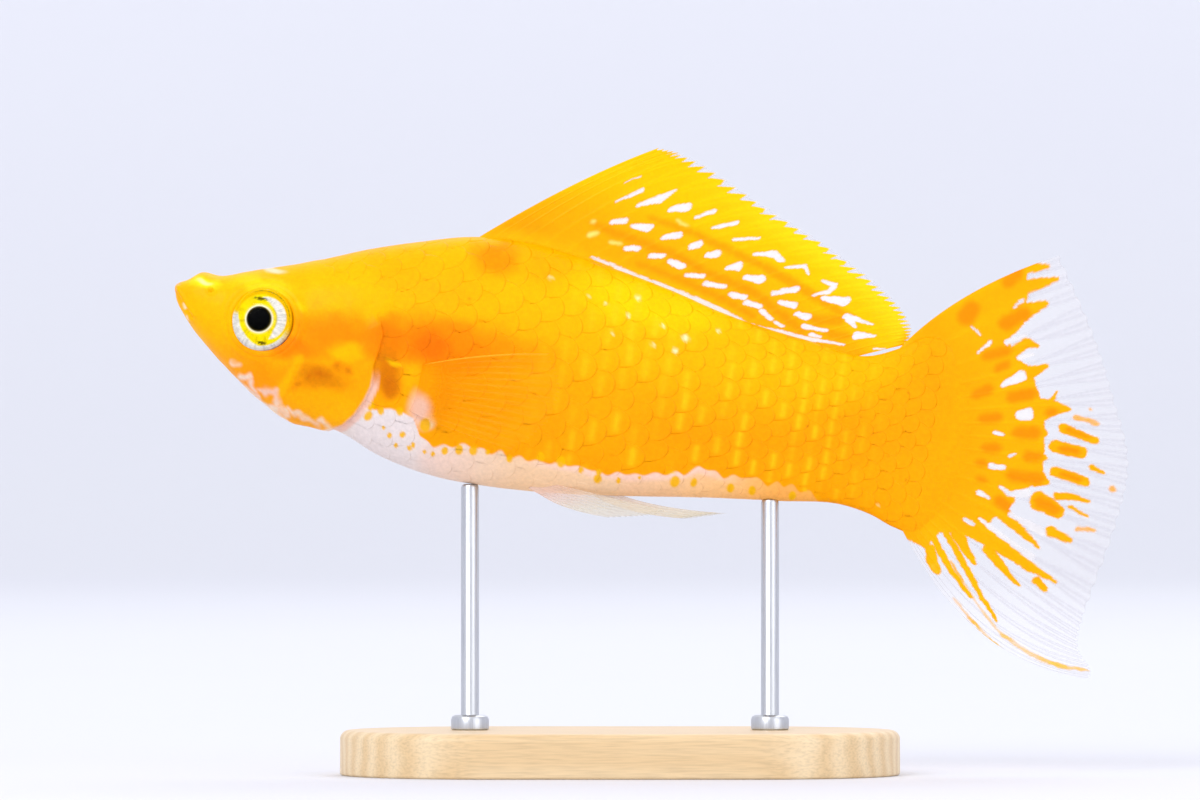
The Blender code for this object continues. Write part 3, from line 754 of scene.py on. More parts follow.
skin = piece_of("skin", skin_points, skin_faces, skin_uv, skin_material, pigment=skin_colour)
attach(skin, "root")
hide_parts("head", "lower_jaw", "gill_cover_left", "gill_cover_right", "trunk", "tail_stalk")


# Eyes
# Each eye is a pearly iris with a black pupil, through which the lens bulges, under a clear cornea. It sits
# in the head's socket, turned a little forwards and up, and a fold of skin lies round it.

EYE_LEAN = math.radians(5.0)
EYE_TURN = math.radians(10.0)
EYE_SQUARENESS = 2.4
EYE_RINGS = 72
EYE_AROUND = 144
PUPIL_CENTRE = (-0.2, -0.05)
PUPIL_RADIUS = 1.24
PUPIL_DEPTH = 0.25
LENS_HEIGHT = 0.34
IRIS_DEPTH = 0.42
BALL_SHARE = 0.985
CORNEA_SHARE = 0.995
FOLD_RADIUS = 3.38
FOLD_WIDTH = 0.36
FOLD_HEIGHT = 0.24
FOLD_SUNK = 0.1
FOLD_AROUND = 144
FOLD_OVER = 24
SIDES = ((-1, "left"), (1, "right"))


def turned(points, lean, turn):
    """Points turned by lean about x, then by turn about z."""
    x, y, z = points[..., 0], points[..., 1], points[..., 2]
    y, z = y * math.cos(lean) - z * math.sin(lean), y * math.sin(lean) + z * math.cos(lean)
    x, y = x * math.cos(turn) - y * math.sin(turn), x * math.sin(turn) + y * math.cos(turn)
    return np.stack([x, y, z], -1)


def side_of_body(x, z):
    """How far out the body's side is at a place in the side view: the superellipse solved for y."""
    back, belly, half, middle, above, below = section(x)
    upper = z > middle
    rise = np.where(upper, back - middle, middle - belly)
    square = np.where(upper, above, below)
    return half * (1 - np.clip(np.abs(z - middle) / rise, 0, 1) ** square) ** (1 / square)


def turned_form(radius, height):
    """A closed turned form about the axis of an eye: one ring of points for each radius and height, and one
    point at each pole. Returns its points as across, outwards and up, and its faces."""
    around = np.linspace(0, 2 * np.pi, EYE_AROUND, endpoint=False)
    ring_radius, ring_height = radius[1:-1, None], height[1:-1, None]
    rings = np.stack([
        ring_radius * np.cos(around),
        ring_height + 0 * around,
        ring_radius * np.sin(around),
    ], -1).reshape(-1, 3)
    points = np.concatenate([rings, [(0, height[0], 0)], [(0, height[-1], 0)]])
    return points, pole_faces(len(radius) - 2, EYE_AROUND)[0]


def facing(points, faces, uv=None):
    """The faces and their corners' places on the map, turned outwards: both reversed where the closed
    form's signed volume is below 0."""
    corner = points[np.array([face[:3] for face in faces])]
    last = points[np.array([face[-1] for face in faces])]
    half = np.einsum("ij,ij->i", corner[:, 0], np.cross(corner[:, 1], corner[:, 2])).sum()
    half += np.einsum("ij,ij->i", corner[:, 0], np.cross(corner[:, 2], last)).sum()
    if half > 0:
        return faces, uv
    return [face[::-1] for face in faces], None if uv is None else uv[:, ::-1]


def iris_paint(p, q):
    """The eye's colours by place: p mm back and q mm up from its centre. Lemon round the pupil, gold above,
    silver crescents below in front and behind, fine fibres and a few dark flecks."""
    rim = np.hypot(p, q)
    from_pupil = np.hypot(p - PUPIL_CENTRE[0], q - PUPIL_CENTRE[1])
    angle = np.degrees(np.arctan2(q, p))
    fibre = cloud(angle * 0.5, rim, 1.0, 31) * 0.6 + cloud(p, q, 0.35, 32) * 0.5
    colour = mixed("#FCE000", "#E2C400", smooth(-0.1, 0.7, fibre))
    gold = smooth(2.3, 2.6, rim) * smooth(-40, 0, angle) * smooth(186, 166, angle)
    colour = mixed(colour, "#FFC600", gold)
    silver = mixed("#EEE9DE", "#CEC9BE", smooth(-0.3, 0.7, fibre))
    turn = (angle % 360 - 215) / 70
    low_front = smooth(-0.06, 0.06, rim - 2.2 - np.minimum(0.7 * turn**2, 0.5) + 0.05 * fibre)
    low_front = low_front * smooth(-0.64, -0.46, turn) * smooth(1.95, 1.4, turn)
    turn = (angle - 8) / np.where(angle > 8, 82, 62)
    behind = smooth(-0.05, 0.07, rim - 1.56 - 0.2 * turn**2 - 0.25 * turn**4 + 0.04 * fibre)
    behind = behind * smooth(0.07, -0.07, rim - 2.5 + 0.2 * turn**2 + 0.08 * turn**4)
    behind = behind * (np.abs(turn) < 1.2)
    colour = mixed(colour, silver, np.maximum(low_front, behind))
    outline = bell(rim - 1.55, 0.05) * smooth(-46, -30, angle) * smooth(60, 40, angle)
    colour = mixed(colour, "#A89A20", 0.5 * outline)
    inner_ring = smooth(1.24, 1.28, from_pupil) * smooth(1.5, 1.4, from_pupil)
    colour = mixed(colour, "#F8F2DA", 0.85 * inner_ring)
    fleck = smooth(-0.35, 0.05, cloud(p, 1.8 * q, 0.17, 33))
    above = spot(p, q, (-0.45, 1.96), (1.1, 0.26), 0.6)
    below = spot(p, q, (0.5, -2.36), (0.75, 0.24), 0.6)
    arc = bell(rim - 2.84, 0.06) * smooth(-5, 20, angle) * smooth(125, 100, angle)
    dark = np.maximum(np.maximum(above, below) * fleck, 0.75 * arc * (0.5 + 0.5 * fleck))
    colour = mixed(colour, "#3A3008", 0.92 * dark)
    return mixed(colour, "#010102", smooth(1.25, 1.2, from_pupil))


def make_eye():
    """The eyeball and the cornea over it, about the eye's axis. The cornea is a superellipse turned about
    the axis. The ball is the same form a little smaller, flatter behind, and dished in front towards the
    pupil, where the lens is a low dome. Returns points, faces and the ball's colours."""
    around = np.linspace(0, np.pi, EYE_RINGS)
    radius = EYE_RADIUS * np.sin(around).clip(0) ** (2 / EYE_SQUARENESS)
    height = EYE_HALF_DEPTH * np.sign(np.cos(around)) * np.abs(np.cos(around)) ** (2 / EYE_SQUARENESS)
    dished = height - IRIS_DEPTH * smooth(2.95, 2.45, radius) - PUPIL_DEPTH * smooth(2.6, 1.3, radius)
    points, faces = turned_form(BALL_SHARE * radius, np.where(around < np.pi / 2, dished, 0.97 * height))
    p, w, q = points.T
    drawn_in = smooth(2.5, 1.5, np.hypot(p, q))
    p, q = p + PUPIL_CENTRE[0] * drawn_in, q + PUPIL_CENTRE[1] * drawn_in
    from_pupil = np.hypot(p - PUPIL_CENTRE[0], q - PUPIL_CENTRE[1])
    lens = LENS_HEIGHT * np.sqrt(np.clip(1 - (from_pupil / PUPIL_RADIUS) ** 2, 0, 1)) * (w > 0)
    # The back half of the ball, sunk in the socket, is painted darker as shade
    colour = iris_paint(p, q) * np.where(w > 0, 1.0, 0.6)[:, None]
    ball = (np.stack([p, w + lens, q], -1), faces, colour)
    return ball, turned_form(CORNEA_SHARE * radius, CORNEA_SHARE * height)


def make_fold(side):
    """The fold of skin round an eye: a ring on the body's side whose section is an oval, half sunk in it.
    Returns points, faces and the places of their corners on the map."""
    around, over = np.meshgrid(
        np.linspace(0, 2 * np.pi, FOLD_AROUND + 1)[:-1],
        np.linspace(0, 2 * np.pi, FOLD_OVER + 1)[:-1],
        indexing="ij",
    )
    radius = FOLD_RADIUS + FOLD_WIDTH * np.cos(over)
    x = EYE_CENTRE[0] + radius * np.cos(around)
    z = EYE_CENTRE[2] + radius * np.sin(around)
    y = side_of_body(x, z) - FOLD_SUNK + FOLD_HEIGHT * np.sin(over)
    points = np.stack([x, side * y, z], -1).reshape(-1, 3)
    quads, share = ring_quads(FOLD_AROUND + 1, FOLD_OVER)
    return points, quads % len(points), share


# Iris and lens: pearly cells with a soft silky light and a grain too fine to see one by one.
iris, iris_shader, _, iris_grain = pigmented(
    "pearly_iris",
    {"Scale": 9000.0, "Detail": 2.0},
    (0.3, 0.7, 0.9, 1.06),
    Roughness=0.35,
    IOR=1.38,
    Specular_IOR_Level=0.03,
)
iris_bump = node(iris, "Bump", Strength=0.3, Distance=0.00003, Height=iris_grain)
join(iris, iris_shader, Normal=iris_bump)

# Cornea: clear wet tissue, smooth as glass. Its index is near the one it has against water, as in the
# picture, so it hardly mirrors and the pupil stays black.
cornea, cornea_shader, cornea_place = finish(
    "clear_cornea", Base_Color=(1.0, 1.0, 1.0, 1.0), Roughness=0.0, IOR=1.08, Transmission_Weight=1.0
)
cornea_wave = node(cornea, "TexNoise", Vector=cornea_place, Scale=400.0, Detail=1.0)
cornea_bump = node(cornea, "Bump", Strength=0.05, Distance=0.00002, Height=cornea_wave)
join(cornea, cornea_shader, Normal=cornea_bump)

(ball_points, ball_faces, ball_colour), (cornea_points, cornea_faces) = make_eye()
EYE_PIECES = (
    ("eyeball", ball_points, ball_faces, iris, {"pigment": ball_colour}),
    ("cornea", cornea_points, cornea_faces, cornea, {}),
)
for side, eye_label in SIDES:
    for role, points, faces, material, values in EYE_PIECES:
        points = turned(points * (1, side, 1), side * EYE_LEAN, side * EYE_TURN)
        points = points + (EYE_CENTRE[0], side * EYE_CENTRE[1], EYE_CENTRE[2])
        part_of_eye = piece_of(f"{role}_{eye_label}", points, *facing(points, faces), material, **values)
        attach(part_of_eye, "root")
        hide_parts(f"eye_{eye_label}")

    points, faces, places = make_fold(side)
    faces, places = facing(points, faces.tolist(), places)
    colour = pigment(points[:, 0], points[:, 2], side)
    fold = piece_of(f"eye_fold_{eye_label}", points, faces, places, skin_material, pigment=colour)
    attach(fold, "root")
    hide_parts("head")


# Scales
# Thin round plates of clear bone, the pigment shining through, in staggered columns from the gill opening
# to the tail. Each is rooted in the skin in front, and its free rear edge lies over the next one.

SCALES_ROUND = 22
SCALE_MIDDLE_LIFT = -0.045
SCALE_RISE = 0.026
SCALE_THICKNESS = 0.009
SCALE_OVERLAP_HEIGHT = 1.36
SCALE_OVERLAP_LENGTH = 1.15
FIRST_SCALE_X = 15.6
LAST_SCALE_X = 77.6
PATCH = 0.003
SCALE_SHADE = 0.965
BAR_GOLD = "#FFCA14"
BAR_PLACE = 0.36
BAR_WIDTH = 0.14


def scale_columns():
    """Where the rear edges of the columns lie, and the step after each: close on the nape, 2.1 mm along
    the trunk and closing up along the tail."""
    edges, steps = [FIRST_SCALE_X], []
    while edges[-1] < LAST_SCALE_X:
        step = 1.5 + 0.6 * smooth(16, 24, edges[-1]) - 0.65 * smooth(48, 76, edges[-1])
        steps.append(float(step))
        edges.append(edges[-1] + float(step))
    return np.array(edges[:-1]), np.array(steps)


def scale_lie():
    """How the scales lie, one number each: the rear edge, half the length, the share round the body, a
    seeded tone, and whether the belly's edge or its beads cross it."""
    edges, steps = scale_columns()
    column, place = np.meshgrid(np.arange(len(edges)), np.arange(SCALES_ROUND), indexing="ij")
    column, place = column.ravel(), place.ravel()
    random = np.random.default_rng(7).uniform(-1, 1, (4, len(column)))
    rear = edges[column] + 0.06 * random[0]
    round_share = -1 + 2 * (place + 0.5 * (column % 2)) / SCALES_ROUND + 0.0025 * random[1]
    half_length = SCALE_OVERLAP_LENGTH * steps[column] * (1 + 0.04 * random[2])
    shown = on_body(rear - 0.5 * half_length, round_share, 0.0)
    keep = (scaled(shown[:, 0], shown[:, 2]) > 0.5) & (rear - 2 * half_length > 10.0)
    from_edge = shown[:, 2] - belly_height(shown[:, 0])
    marked = (np.abs(from_edge + 0.6) < 2.3) | ((shown[:, 0] < 28) & (from_edge < 3.0))
    lie = np.stack([rear, half_length, (round_share % 2 + 1) % 2 - 1, random[3]])[:, keep]
    return lie, marked[keep]


def make_scales(lie, grid):
    """Scales as closed lenses: a square grid, closest at its rear, drawn into a disc, laid on the body and
    lifted from root to edge, over a like grid a hair lower. Axes: scale, top or underside, front to rear,
    across. Returns the points, colours, places within the scale and places on the map."""
    rear, half_length, round_share, tone = lie[:, :, None, None]
    along, across = np.meshgrid(
        2 * np.linspace(0, 1, grid) ** 0.65 - 1, np.linspace(-1, 1, grid), indexing="ij"
    )
    u = along * np.sqrt(1 - across**2 / 2)
    v = across * np.sqrt(1 - along**2 / 2)
    x = rear - half_length + half_length * u
    f = round_share + SCALE_OVERLAP_HEIGHT / SCALES_ROUND * v
    proud = 0.25 + 0.75 * smooth(32, 56, rear) - 0.85 * smooth(56, 74, rear)
    climb = ((u + 1) / 2) ** 1.3 - 0.5 + 0.2 * (1 - v**2) * smooth(-0.5, 0.4, u)
    lift = SCALE_MIDDLE_LIFT - 0.011 * smooth(68, 77, rear)
    lift = lift + SCALE_RISE * proud * climb + 0.006 * proud * tone
    top = on_body(x, f, lift)
    points = np.stack([top, on_body(x, f, lift - SCALE_THICKNESS)], 1)

    place_x, place_z = top[..., 0], top[..., 2]
    colour = pigment(place_x, place_z, np.sign(top[..., 1]))
    gold = belly_height(place_x) < place_z
    bar = bell(u - BAR_PLACE - 0.12 * tone, BAR_WIDTH) * smooth(0.85, 0.4, np.abs(v))
    bar = bar * smooth(34, 48, place_x) * smooth(74, 64, place_x) * smooth(-0.6, 0.5, tone)
    colour = mixed(colour, BAR_GOLD, 0.75 * bar * gold)
    colour = colour * (1 + 0.012 * tone[..., None])
    colour = np.clip(SCALE_SHADE * np.stack([colour, colour], 1), 0, 1)
    within = np.broadcast_to(np.stack([u, v, 0 * u], -1), points.shape)

    root = np.interp(rear - 2 * half_length, skin_rings(), np.linspace(0, 1, SKIN_RINGS))
    spot_on_map = np.stack([root + PATCH / 2 * u, (round_share + 1) / 2 + PATCH / 2 * v], -1)
    spot_on_map = np.broadcast_to(np.clip(spot_on_map, 0.0005, 0.9995)[:, None], (*points.shape[:-1], 2))
    return points, colour, within, spot_on_map


# Scales: clear bone plates with growth ridges. They are about 0.03 mm apart in life and are drawn 0.2 mm
# apart so that they show; they give the flank its silky break of light.
bone, bone_shader, _, bone_speckle = flesh_finish("clear_bony_scale", 0.0)
bone_place = node(bone, "Attribute", "Vector", attribute_name="grain")
bone_ridges = node(
    bone, "TexWave", "Fac", wave_type="RINGS", rings_direction="Z", Vector=bone_place,
    Scale=3.2, Distortion=0.8,
)
bone_height = node(bone, "Math", operation="MULTIPLY_ADD", in_0=bone_ridges, in_1=0.5, in_2=bone_speckle)
bone_bump = node(bone, "Bump", Strength=0.2, Distance=0.00003, Height=bone_height)
join(bone, bone_shader, Normal=bone_bump)

every_scale, is_marked = scale_lie()
# Name, grid, chosen by the belly's marks, and the stretch of the body
SCALE_GROUPS = (
    ("flank_front", 13, False, 0.0, 44.0),
    ("flank_rear", 13, False, 44.0, 90.0),
    ("belly_front", 24, True, 0.0, 33.0),
    ("belly_middle", 24, True, 33.0, 55.0),
    ("belly_rear", 24, True, 55.0, 90.0),
)
for group, grid, of_belly, group_start, group_end in SCALE_GROUPS:
    for side, label in SIDES:
        chosen = (is_marked == of_belly) & (np.where(every_scale[2] < 0, -1, 1) == side)
        chosen &= (every_scale[0] >= group_start) & (every_scale[0] < group_end)
        points, colour, within, on_map = make_scales(every_scale[:, chosen], grid)
        one_scale, _, wall = plate_faces(grid, grid)
        smooth_faces = np.arange(len(one_scale)) < len(one_scale) - wall
        one_scale = np.array(facing(points[0].reshape(-1, 3), one_scale.tolist())[0])
        faces = (np.arange(chosen.sum())[:, None, None] * 2 * grid**2 + one_scale).reshape(-1, 4)
        scales = piece_of(
            f"scales_{group}_{label}",
            points.reshape(-1, 3),
            faces,
            on_map.reshape(-1, 2)[faces],
            bone,
            np.tile(smooth_faces, chosen.sum()),
            pigment=colour.reshape(-1, 3),
            grain=within.reshape(-1, 3),
        )
        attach(scales, "root")
        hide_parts("trunk", "tail_stalk")


# Fins along the mid-plane
# A fin is two skins over bony rays that fork towards their tips, with clear windows between the rays where
# the gold pigment is missing. Its root is sunk in the flesh, and its rear edge waves a little aside.

# Each guide is the root, the bend and the tip of a line like a ray, as x and z.
DORSAL_GUIDES = (
    (28.4, 9.6, 37.4, 17.6, 45.2, 22.1), (33.6, 10, 42.2, 18.8, 49, 21.6),
    (41, 8.8, 49.2, 16.4, 56.4, 18.4), (49, 7.4, 56.6, 13.6, 64, 15.2),
    (57, 5.6, 63.4, 10.8, 70, 12), (63, 4.9, 67.6, 8.1, 73, 9.3),
    (67.5, 4.6, 70.5, 6, 73.4, 7.2),
)
CAUDAL_GUIDES = (
    (72, 5.9, 76.6, 13.2, 86.6, 18.5), (75.5, 3.4, 83.4, 7, 91.2, 11.6),
    (76, 0.6, 84.8, 2.8, 94.4, 5.6), (76, -2, 87, -0.8, 97.1, -0.8),
    (75.5, -4.4, 86.4, -5.8, 96.9, -7.4), (74.8, -6.4, 85.4, -11.8, 95.4, -16.2),
    (74.6, -7.6, 84.4, -16.8, 95.3, -19.7), (74.5, -8.5, 84.4, -22, 96.9, -21.7),
    (74.2, -9, 84, -23.6, 97.1, -22.7),
)
ANAL_GUIDES = (
    (45.4, -12.2, 49.6, -13.7, 58.4, -12.7), (43.6, -12.6, 47, -14.8, 54.6, -13.9),
)
ANAL_RAYS = 5
DORSAL_GRID = (361, 136)
CAUDAL_GRID = (361, 137)
ANAL_GRID = (41, 61)
CAUDAL_SWEEP = 3.0
DORSAL_SWEEP = 1.6
SWEEP_AT_FIRST_RAY = 0.3
MEMBRANE_HALF = 0.06
RAY_HALF = 0.07
ROOT_HALF = 0.42
ROOT_REACH = 0.07
CLEAR_MEMBRANE = "#F6F0EA"
CLEAR_RAY = "#CBC9D0"


def fin_form(guides, rays, grid, sweep, fork_from, notch, root_half=ROOT_HALF, root_reach=ROOT_REACH):
    """A fin as two sheets of points over shares v, across the rays, and u, root to tip. A ray is a line
    bent once, (1-u)² root + 2u(1-u) bend + u² tip, on smooth curves through the guides. The sheets part by
    the membrane's thickness, more at the root and over each ray and its forks. Returns the near and the
    far sheet, v, u, and how much of a ray is at each point."""
    v, u = np.meshgrid(np.linspace(0, 1, grid[0]), np.linspace(0, 1, grid[1]), indexing="ij")
    phase = v * (rays - 1)
    off = np.abs(phase - np.round(phase))
    fork = 0.23 * smooth(fork_from, 1.0, u)
    second = 0.1 * smooth(0.5 + fork_from / 2, 1.0, u)
    away = np.abs(np.abs(off - fork) - second)
    ray = bell(away, 0.1)
    joint = np.abs(np.sin(np.pi * 30 * u + 0.7 * np.round(phase)))
    joint = 1 - 0.15 * smooth(0.35, 0.0, joint) * smooth(0.2, 0.4, u)
    reach = 1 - notch * np.sin(2 * np.pi * phase) ** 2
    at = u * reach
    knots = np.arange(len(guides), dtype=float)
    place = v[:, 0] * (len(guides) - 1)
    lines = [through(knots, column, place)[:, None] for column in np.array(guides, float).T]
    x, z = (
        (1 - at) ** 2 * root + 2 * at * (1 - at) * bend + at**2 * tip
        for root, bend, tip in (lines[0::2], lines[1::2])
    )
    middle = sweep * (SWEEP_AT_FIRST_RAY + (1 - SWEEP_AT_FIRST_RAY) * v) * at**3
    middle = middle + 0.12 * np.sin(2 * np.pi * (2.2 * v + 0.6 * u)) * smooth(0.3, 1.0, u) * (sweep > 0)
    half = MEMBRANE_HALF + root_half * np.exp(-((u / root_reach) ** 1.5))
    half = half + RAY_HALF * ray * joint * (1 - 0.6 * u) * smooth(0.02, 0.3, u)
    rim = smooth(0, 0.012, v) * smooth(1, 0.988, v) * smooth(1, 0.985, u)
    half = half * (0.25 + 0.75 * rim)
    near = np.stack([x, middle - half, z], -1)
    far = np.stack([x, middle + half, z], -1)
    return near, far, v, u, ray * joint


def fin_faces(rows, steps):
    """The faces of a fin's two sheets and the wall round them, with a place for each corner: the near sheet
    on the left half of the map, the far one on the right and the wall between them."""
    faces, share, wall = plate_faces(rows, steps)
    left = share * (0.48, 0.98) + (0.01, 0.01)
    right = share * (0.48, 0.98) + (0.51, 0.01)
    along = np.linspace(0.01, 0.99, wall + 1)
    strip = np.stack([along[:-1], along[1:], along[1:], along[:-1]], -1)
    strip = np.stack([np.broadcast_to((0.496, 0.496, 0.504, 0.504), strip.shape), strip], -1)
    return faces, np.concatenate([left[:, ::-1], right, strip])


def make_fin(name, node_name, form, paint, material, place=None):
    """One fin from its form. paint gives colours and opacity from v, u, the ray and the place, and place
    carries the sheets from their own frame to the fish's."""
    near, far, v, u, ray = form
    if place is not None:
        near, far = place(near), place(far)
    colour, opacity = paint(v, u, ray, near)
    faces, places = fin_faces(*v.shape)
    points = np.concatenate([near.reshape(-1, 3), far.reshape(-1, 3)])
    faces, places = facing(points, faces.tolist(), places)
    colour = np.concatenate([np.clip(colour, 0, 1).reshape(-1, 3)] * 2)
    opacity = np.concatenate([opacity.ravel()] * 2)
    fin = piece_of(name, points, faces, places, material, pigment=colour, opacity=opacity)
    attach(fin, "root")
    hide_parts(node_name)


DORSAL_RAYS = 21
DORSAL_SHADE = (532, 229)
DORSAL_WINDOWS = (
    (625, 248, 3.1, 639, 249, 3.1), (650, 256, 3.1, 664, 256, 3.1), (669, 261, 3.1, 683, 267, 3.6),
    (686, 275, 2.5, 704, 276, 2.5), (704, 283, 3.1, 726, 287, 2.5), (731, 294, 3.1, 745, 298, 3.1),
    (745, 302, 3.1, 761, 307, 3.1), (762, 310, 3.1, 772, 320, 2.5), (775, 322, 2.5, 784, 327, 2),
    (611, 222, 2.8, 627, 221, 3.4), (632, 226, 2.5, 650, 228, 4.5), (662, 238, 2.2, 681, 235, 3.9),
    (689, 247, 3.1, 701, 244, 3.9), (706, 255, 2.8, 718, 254, 4.5), (727, 268, 2.8, 740, 266, 5.1),
    (745, 277, 2.8, 762, 280, 5.1), (772, 293, 2.8, 798, 289, 3.4), (780, 302, 2.8, 796, 306, 3.6),
    (796, 313, 3.4, 809, 318, 4.2), (803, 326, 2.8, 828, 331, 1.7), (809, 334, 2, 821, 337, 1.7),
    (615, 202, 1.1, 643, 190, 2.5), (624, 183, 0.6, 641, 176, 0.8),
    (637, 206, 1.7, 660, 199, 4.2, 677, 189, 0.8), (669, 210, 2.5, 689, 207, 4.8),
    (695, 217, 1.7, 715, 211, 2.5), (712, 228, 2, 738, 222, 2.5), (733, 240, 2, 760, 238, 1.7),
    (754, 254, 1.4, 776, 254, 3.9, 782, 261, 3.4), (784, 268, 1.1, 805, 266, 2.5, 808, 274, 2),
    (812, 295, 1.4, 829, 292, 2.8, 836, 285, 3.1, 821, 281, 1.4), (821, 298, 2, 846, 302, 5.6),
    (845, 316, 3.6, 873, 324, 1.4), (850, 320, 4.5, 855, 327, 2.5), (855, 335, 4.5, 876, 336, 1.4),
    (874, 349, 1.4, 885, 349, 1.1),
    # Last mark, along the root: a milky clear strip, partly a painted highlight along the back's edge
    (591, 257, 1.2, 615, 266, 2.4, 632, 275, 2.8, 654, 283, 3, 676, 292, 3, 699, 301, 3.4, 721, 311, 3.2,
     735, 318, 3.2, 747, 325, 2.8, 761, 328, 2, 783, 333, 3, 803, 338, 3, 822, 341, 2, 845, 345, 1.2),
)
DORSAL_PALES = (
    (588, 235, 2.5, 598, 233, 1.7), (592, 223, 2, 596, 221, 1.4), (610, 242, 1.7, 622, 244, 1.4),
    (676, 220, 1.1, 688, 226, 1.1),
)
DORSAL_BANDS = (
    (592, 224, 3.9, 637, 241, 4.5, 676, 255, 4.5, 704, 272, 3.9, 733, 283, 4.2, 761, 297, 4.5, 780, 313, 4.2,
     803, 332, 3.4),
    (648, 217, 2.8, 693, 233, 3.9, 733, 252, 3.9, 763, 266, 4.5, 803, 289, 5.6, 831, 306, 4.5, 853, 320, 3.9),
    (811, 320, 4.5, 842, 320, 6.2), (828, 334, 4.5, 850, 336, 3.4),
    (637, 263, 2.8, 682, 280, 3.4, 727, 301, 3.4, 755, 318, 2.8),
)


def fin_colours(gold, share, ray, milky):
    """Gold where share is 1 and membrane where it is 0, with its opacity; the membrane is clear, or whitish
    where milky is 1, and its rays show as fine grey lines."""
    bare = mixed(CLEAR_MEMBRANE, CLEAR_RAY, 0.8 * ray * (1 - milky))
    opacity = 0.09 + 0.2 * ray**1.5 * (1 - milky) + 0.42 * milky
    return mixed(bare, gold, smooth(0.0, 0.4, share)), opacity + (0.98 - opacity) * share


def worn(place, seed):
    """Places on a fin shifted by a little noise, so that its marks have living edges."""
    x, z = place[..., 0], place[..., 2]
    fine = 0.04 * cloud(x, z, 0.22, seed + 2)
    return x + 0.09 * cloud(x, z, 0.6, seed) + fine, z + 0.07 * cloud(x, z, 0.6, seed + 1) + fine


def paint_dorsal(v, u, ray, place):
    """Gold with darker bands, rows of clear windows between the rays, and a clear serrated margin."""
    x, z = worn(place, 41)
    windows = drawn(x, z, DORSAL_WINDOWS, 0.9, 0.5)
    tooth = 2 * v * (DORSAL_RAYS - 1)
    depth = 0.09 * (1 + 0.6 * cloud(np.round(tooth), 0 * v, 1.0, 48))
    edge = 0.978 + 0.014 * smooth(0.6, 0.9, v) - depth * np.abs(tooth - np.round(tooth))
    edge = edge - 0.012 * cloud(x, z, 1.5, 47)
    margin = smooth(edge - 0.008, edge + 0.012, u) * smooth(0.04, 0.14, v)
    gold = mixed("#FFAC00", "#FFC400", smooth(0.2, 0.7, u))
    gold = mixed(gold, "#FF9400", 0.7 * drawn(x, z, DORSAL_BANDS, 4.0))
    gold = mixed(gold, "#FFA200", 0.5 * smooth(0.3, 0.0, v) * smooth(0.55, 0.1, u))
    gold = mixed(gold, "#E29E00", 0.8 * spot(x, z, from_photo(DORSAL_SHADE), (3.6, 1.7), 0.9))
    gold = mixed(gold, "#FFE878", 0.8 * drawn(x, z, DORSAL_PALES, 2.0))
    gold = mixed(gold, "#FFDC14", 0.6 * smooth(0.7, 0.92, u) * smooth(0.15, 0.5, v))
    root = pigment(x, z, -1)
    gold = mixed(root, gold, smooth(0.0, 0.14, u))
    gold = gold * (1 - 0.05 * (1 - ray) + 0.02 * cloud(x, z, 0.6, 45))[..., None]
    return fin_colours(gold, (1 - windows) * (1 - margin), ray, windows)


CAUDAL_RAYS = 21
# Gold is solid on the left of this line, which runs down across the rays
CAUDAL_SOLID = (
    (1056, 249), (1027, 272), (1028, 296), (1024, 325), (1009, 338), (1014, 356), (1028, 366), (1035, 381),
    (1041, 400), (1044, 416), (1045, 445), (1043, 472), (1040, 482), (1031, 486), (1016, 496), (1009, 511),
    (993, 519), (983, 530), (968, 536), (955, 533), (940, 533), (932, 541), (926, 549), (915, 543),
    (897, 534), (880, 521), (866, 512),
)
CAUDAL_FINGERS = (
    (1006, 271, 8.8, 1048, 266, 1.8), (1018, 288, 8.2, 1058, 279, 1.5), (1015, 315, 11.2, 1048, 303, 1.5),
    (1009, 355, 4.7, 1027, 343, 4.1, 1038, 346, 1.5), (1024, 375, 7.6, 1047, 366, 1.5),
    (1038, 410, 11.7, 1056, 408, 7, 1070, 410, 0.9), (1050, 401, 1.8, 1058, 392, 0.6),
    (1038, 432, 7.6, 1046, 434, 2.9), (1038, 457, 5.3, 1046, 458, 1.8), (1038, 478, 8.8, 1048, 482, 2.3),
    (996, 506, 8.2, 1018, 528, 4.1, 1039, 548, 0.9),
    (974, 529, 8.2, 1003, 547, 6.5, 1030, 567, 4.1, 1056, 582, 0.9),
    (987, 548, 4.7, 1006, 572, 2.9, 1019, 586, 0.9), (958, 533, 6.5, 965, 548, 4.1, 975, 564, 1.2),
    (946, 533, 2.9, 965, 566, 2.3, 977, 589, 1.8, 997, 621, 0.9),
    (931, 533, 2.6, 950, 569, 2.1, 971, 597, 1.2), (930, 548, 4.7, 933, 563, 5.3, 938, 572, 2.9),
    (1062, 428, 4.4, 1097, 441, 2.6), (1054, 446, 5.9, 1084, 453, 5), (1092, 467, 2.6, 1105, 473, 0.9),
    (1053, 471, 4.4, 1087, 482, 4.4), (1056, 496, 3.8, 1072, 497, 2.9, 1090, 502, 0.9),
    (1037, 500, 9.4, 1060, 513, 5.9), (1050, 531, 5.3, 1071, 541, 1.5), (1036, 580, 3.8, 1046, 590, 1.8),
    (1069, 506, 1.2, 1088, 517, 0.6),
)
CAUDAL_FAINT = (
    (1074, 417, 2.6, 1099, 424, 2.3), (1090, 409, 2.3, 1092, 410, 1.8), (1077, 529, 2.6, 1096, 530, 1.8),
    (1112, 488, 3.8, 1115, 490, 3.2),
)
CAUDAL_STREAMERS = (
    (950, 560, 1.2, 977, 604, 1.5, 997, 630, 1.8, 1021, 648, 2.3, 1044, 661, 2.3, 1068, 668, 1.8, 1092, 671,
     0.9),
    (953, 598, 1.5, 971, 619, 1.8, 992, 642, 1.2, 1012, 657, 0.9, 1038, 670, 0.9),
)
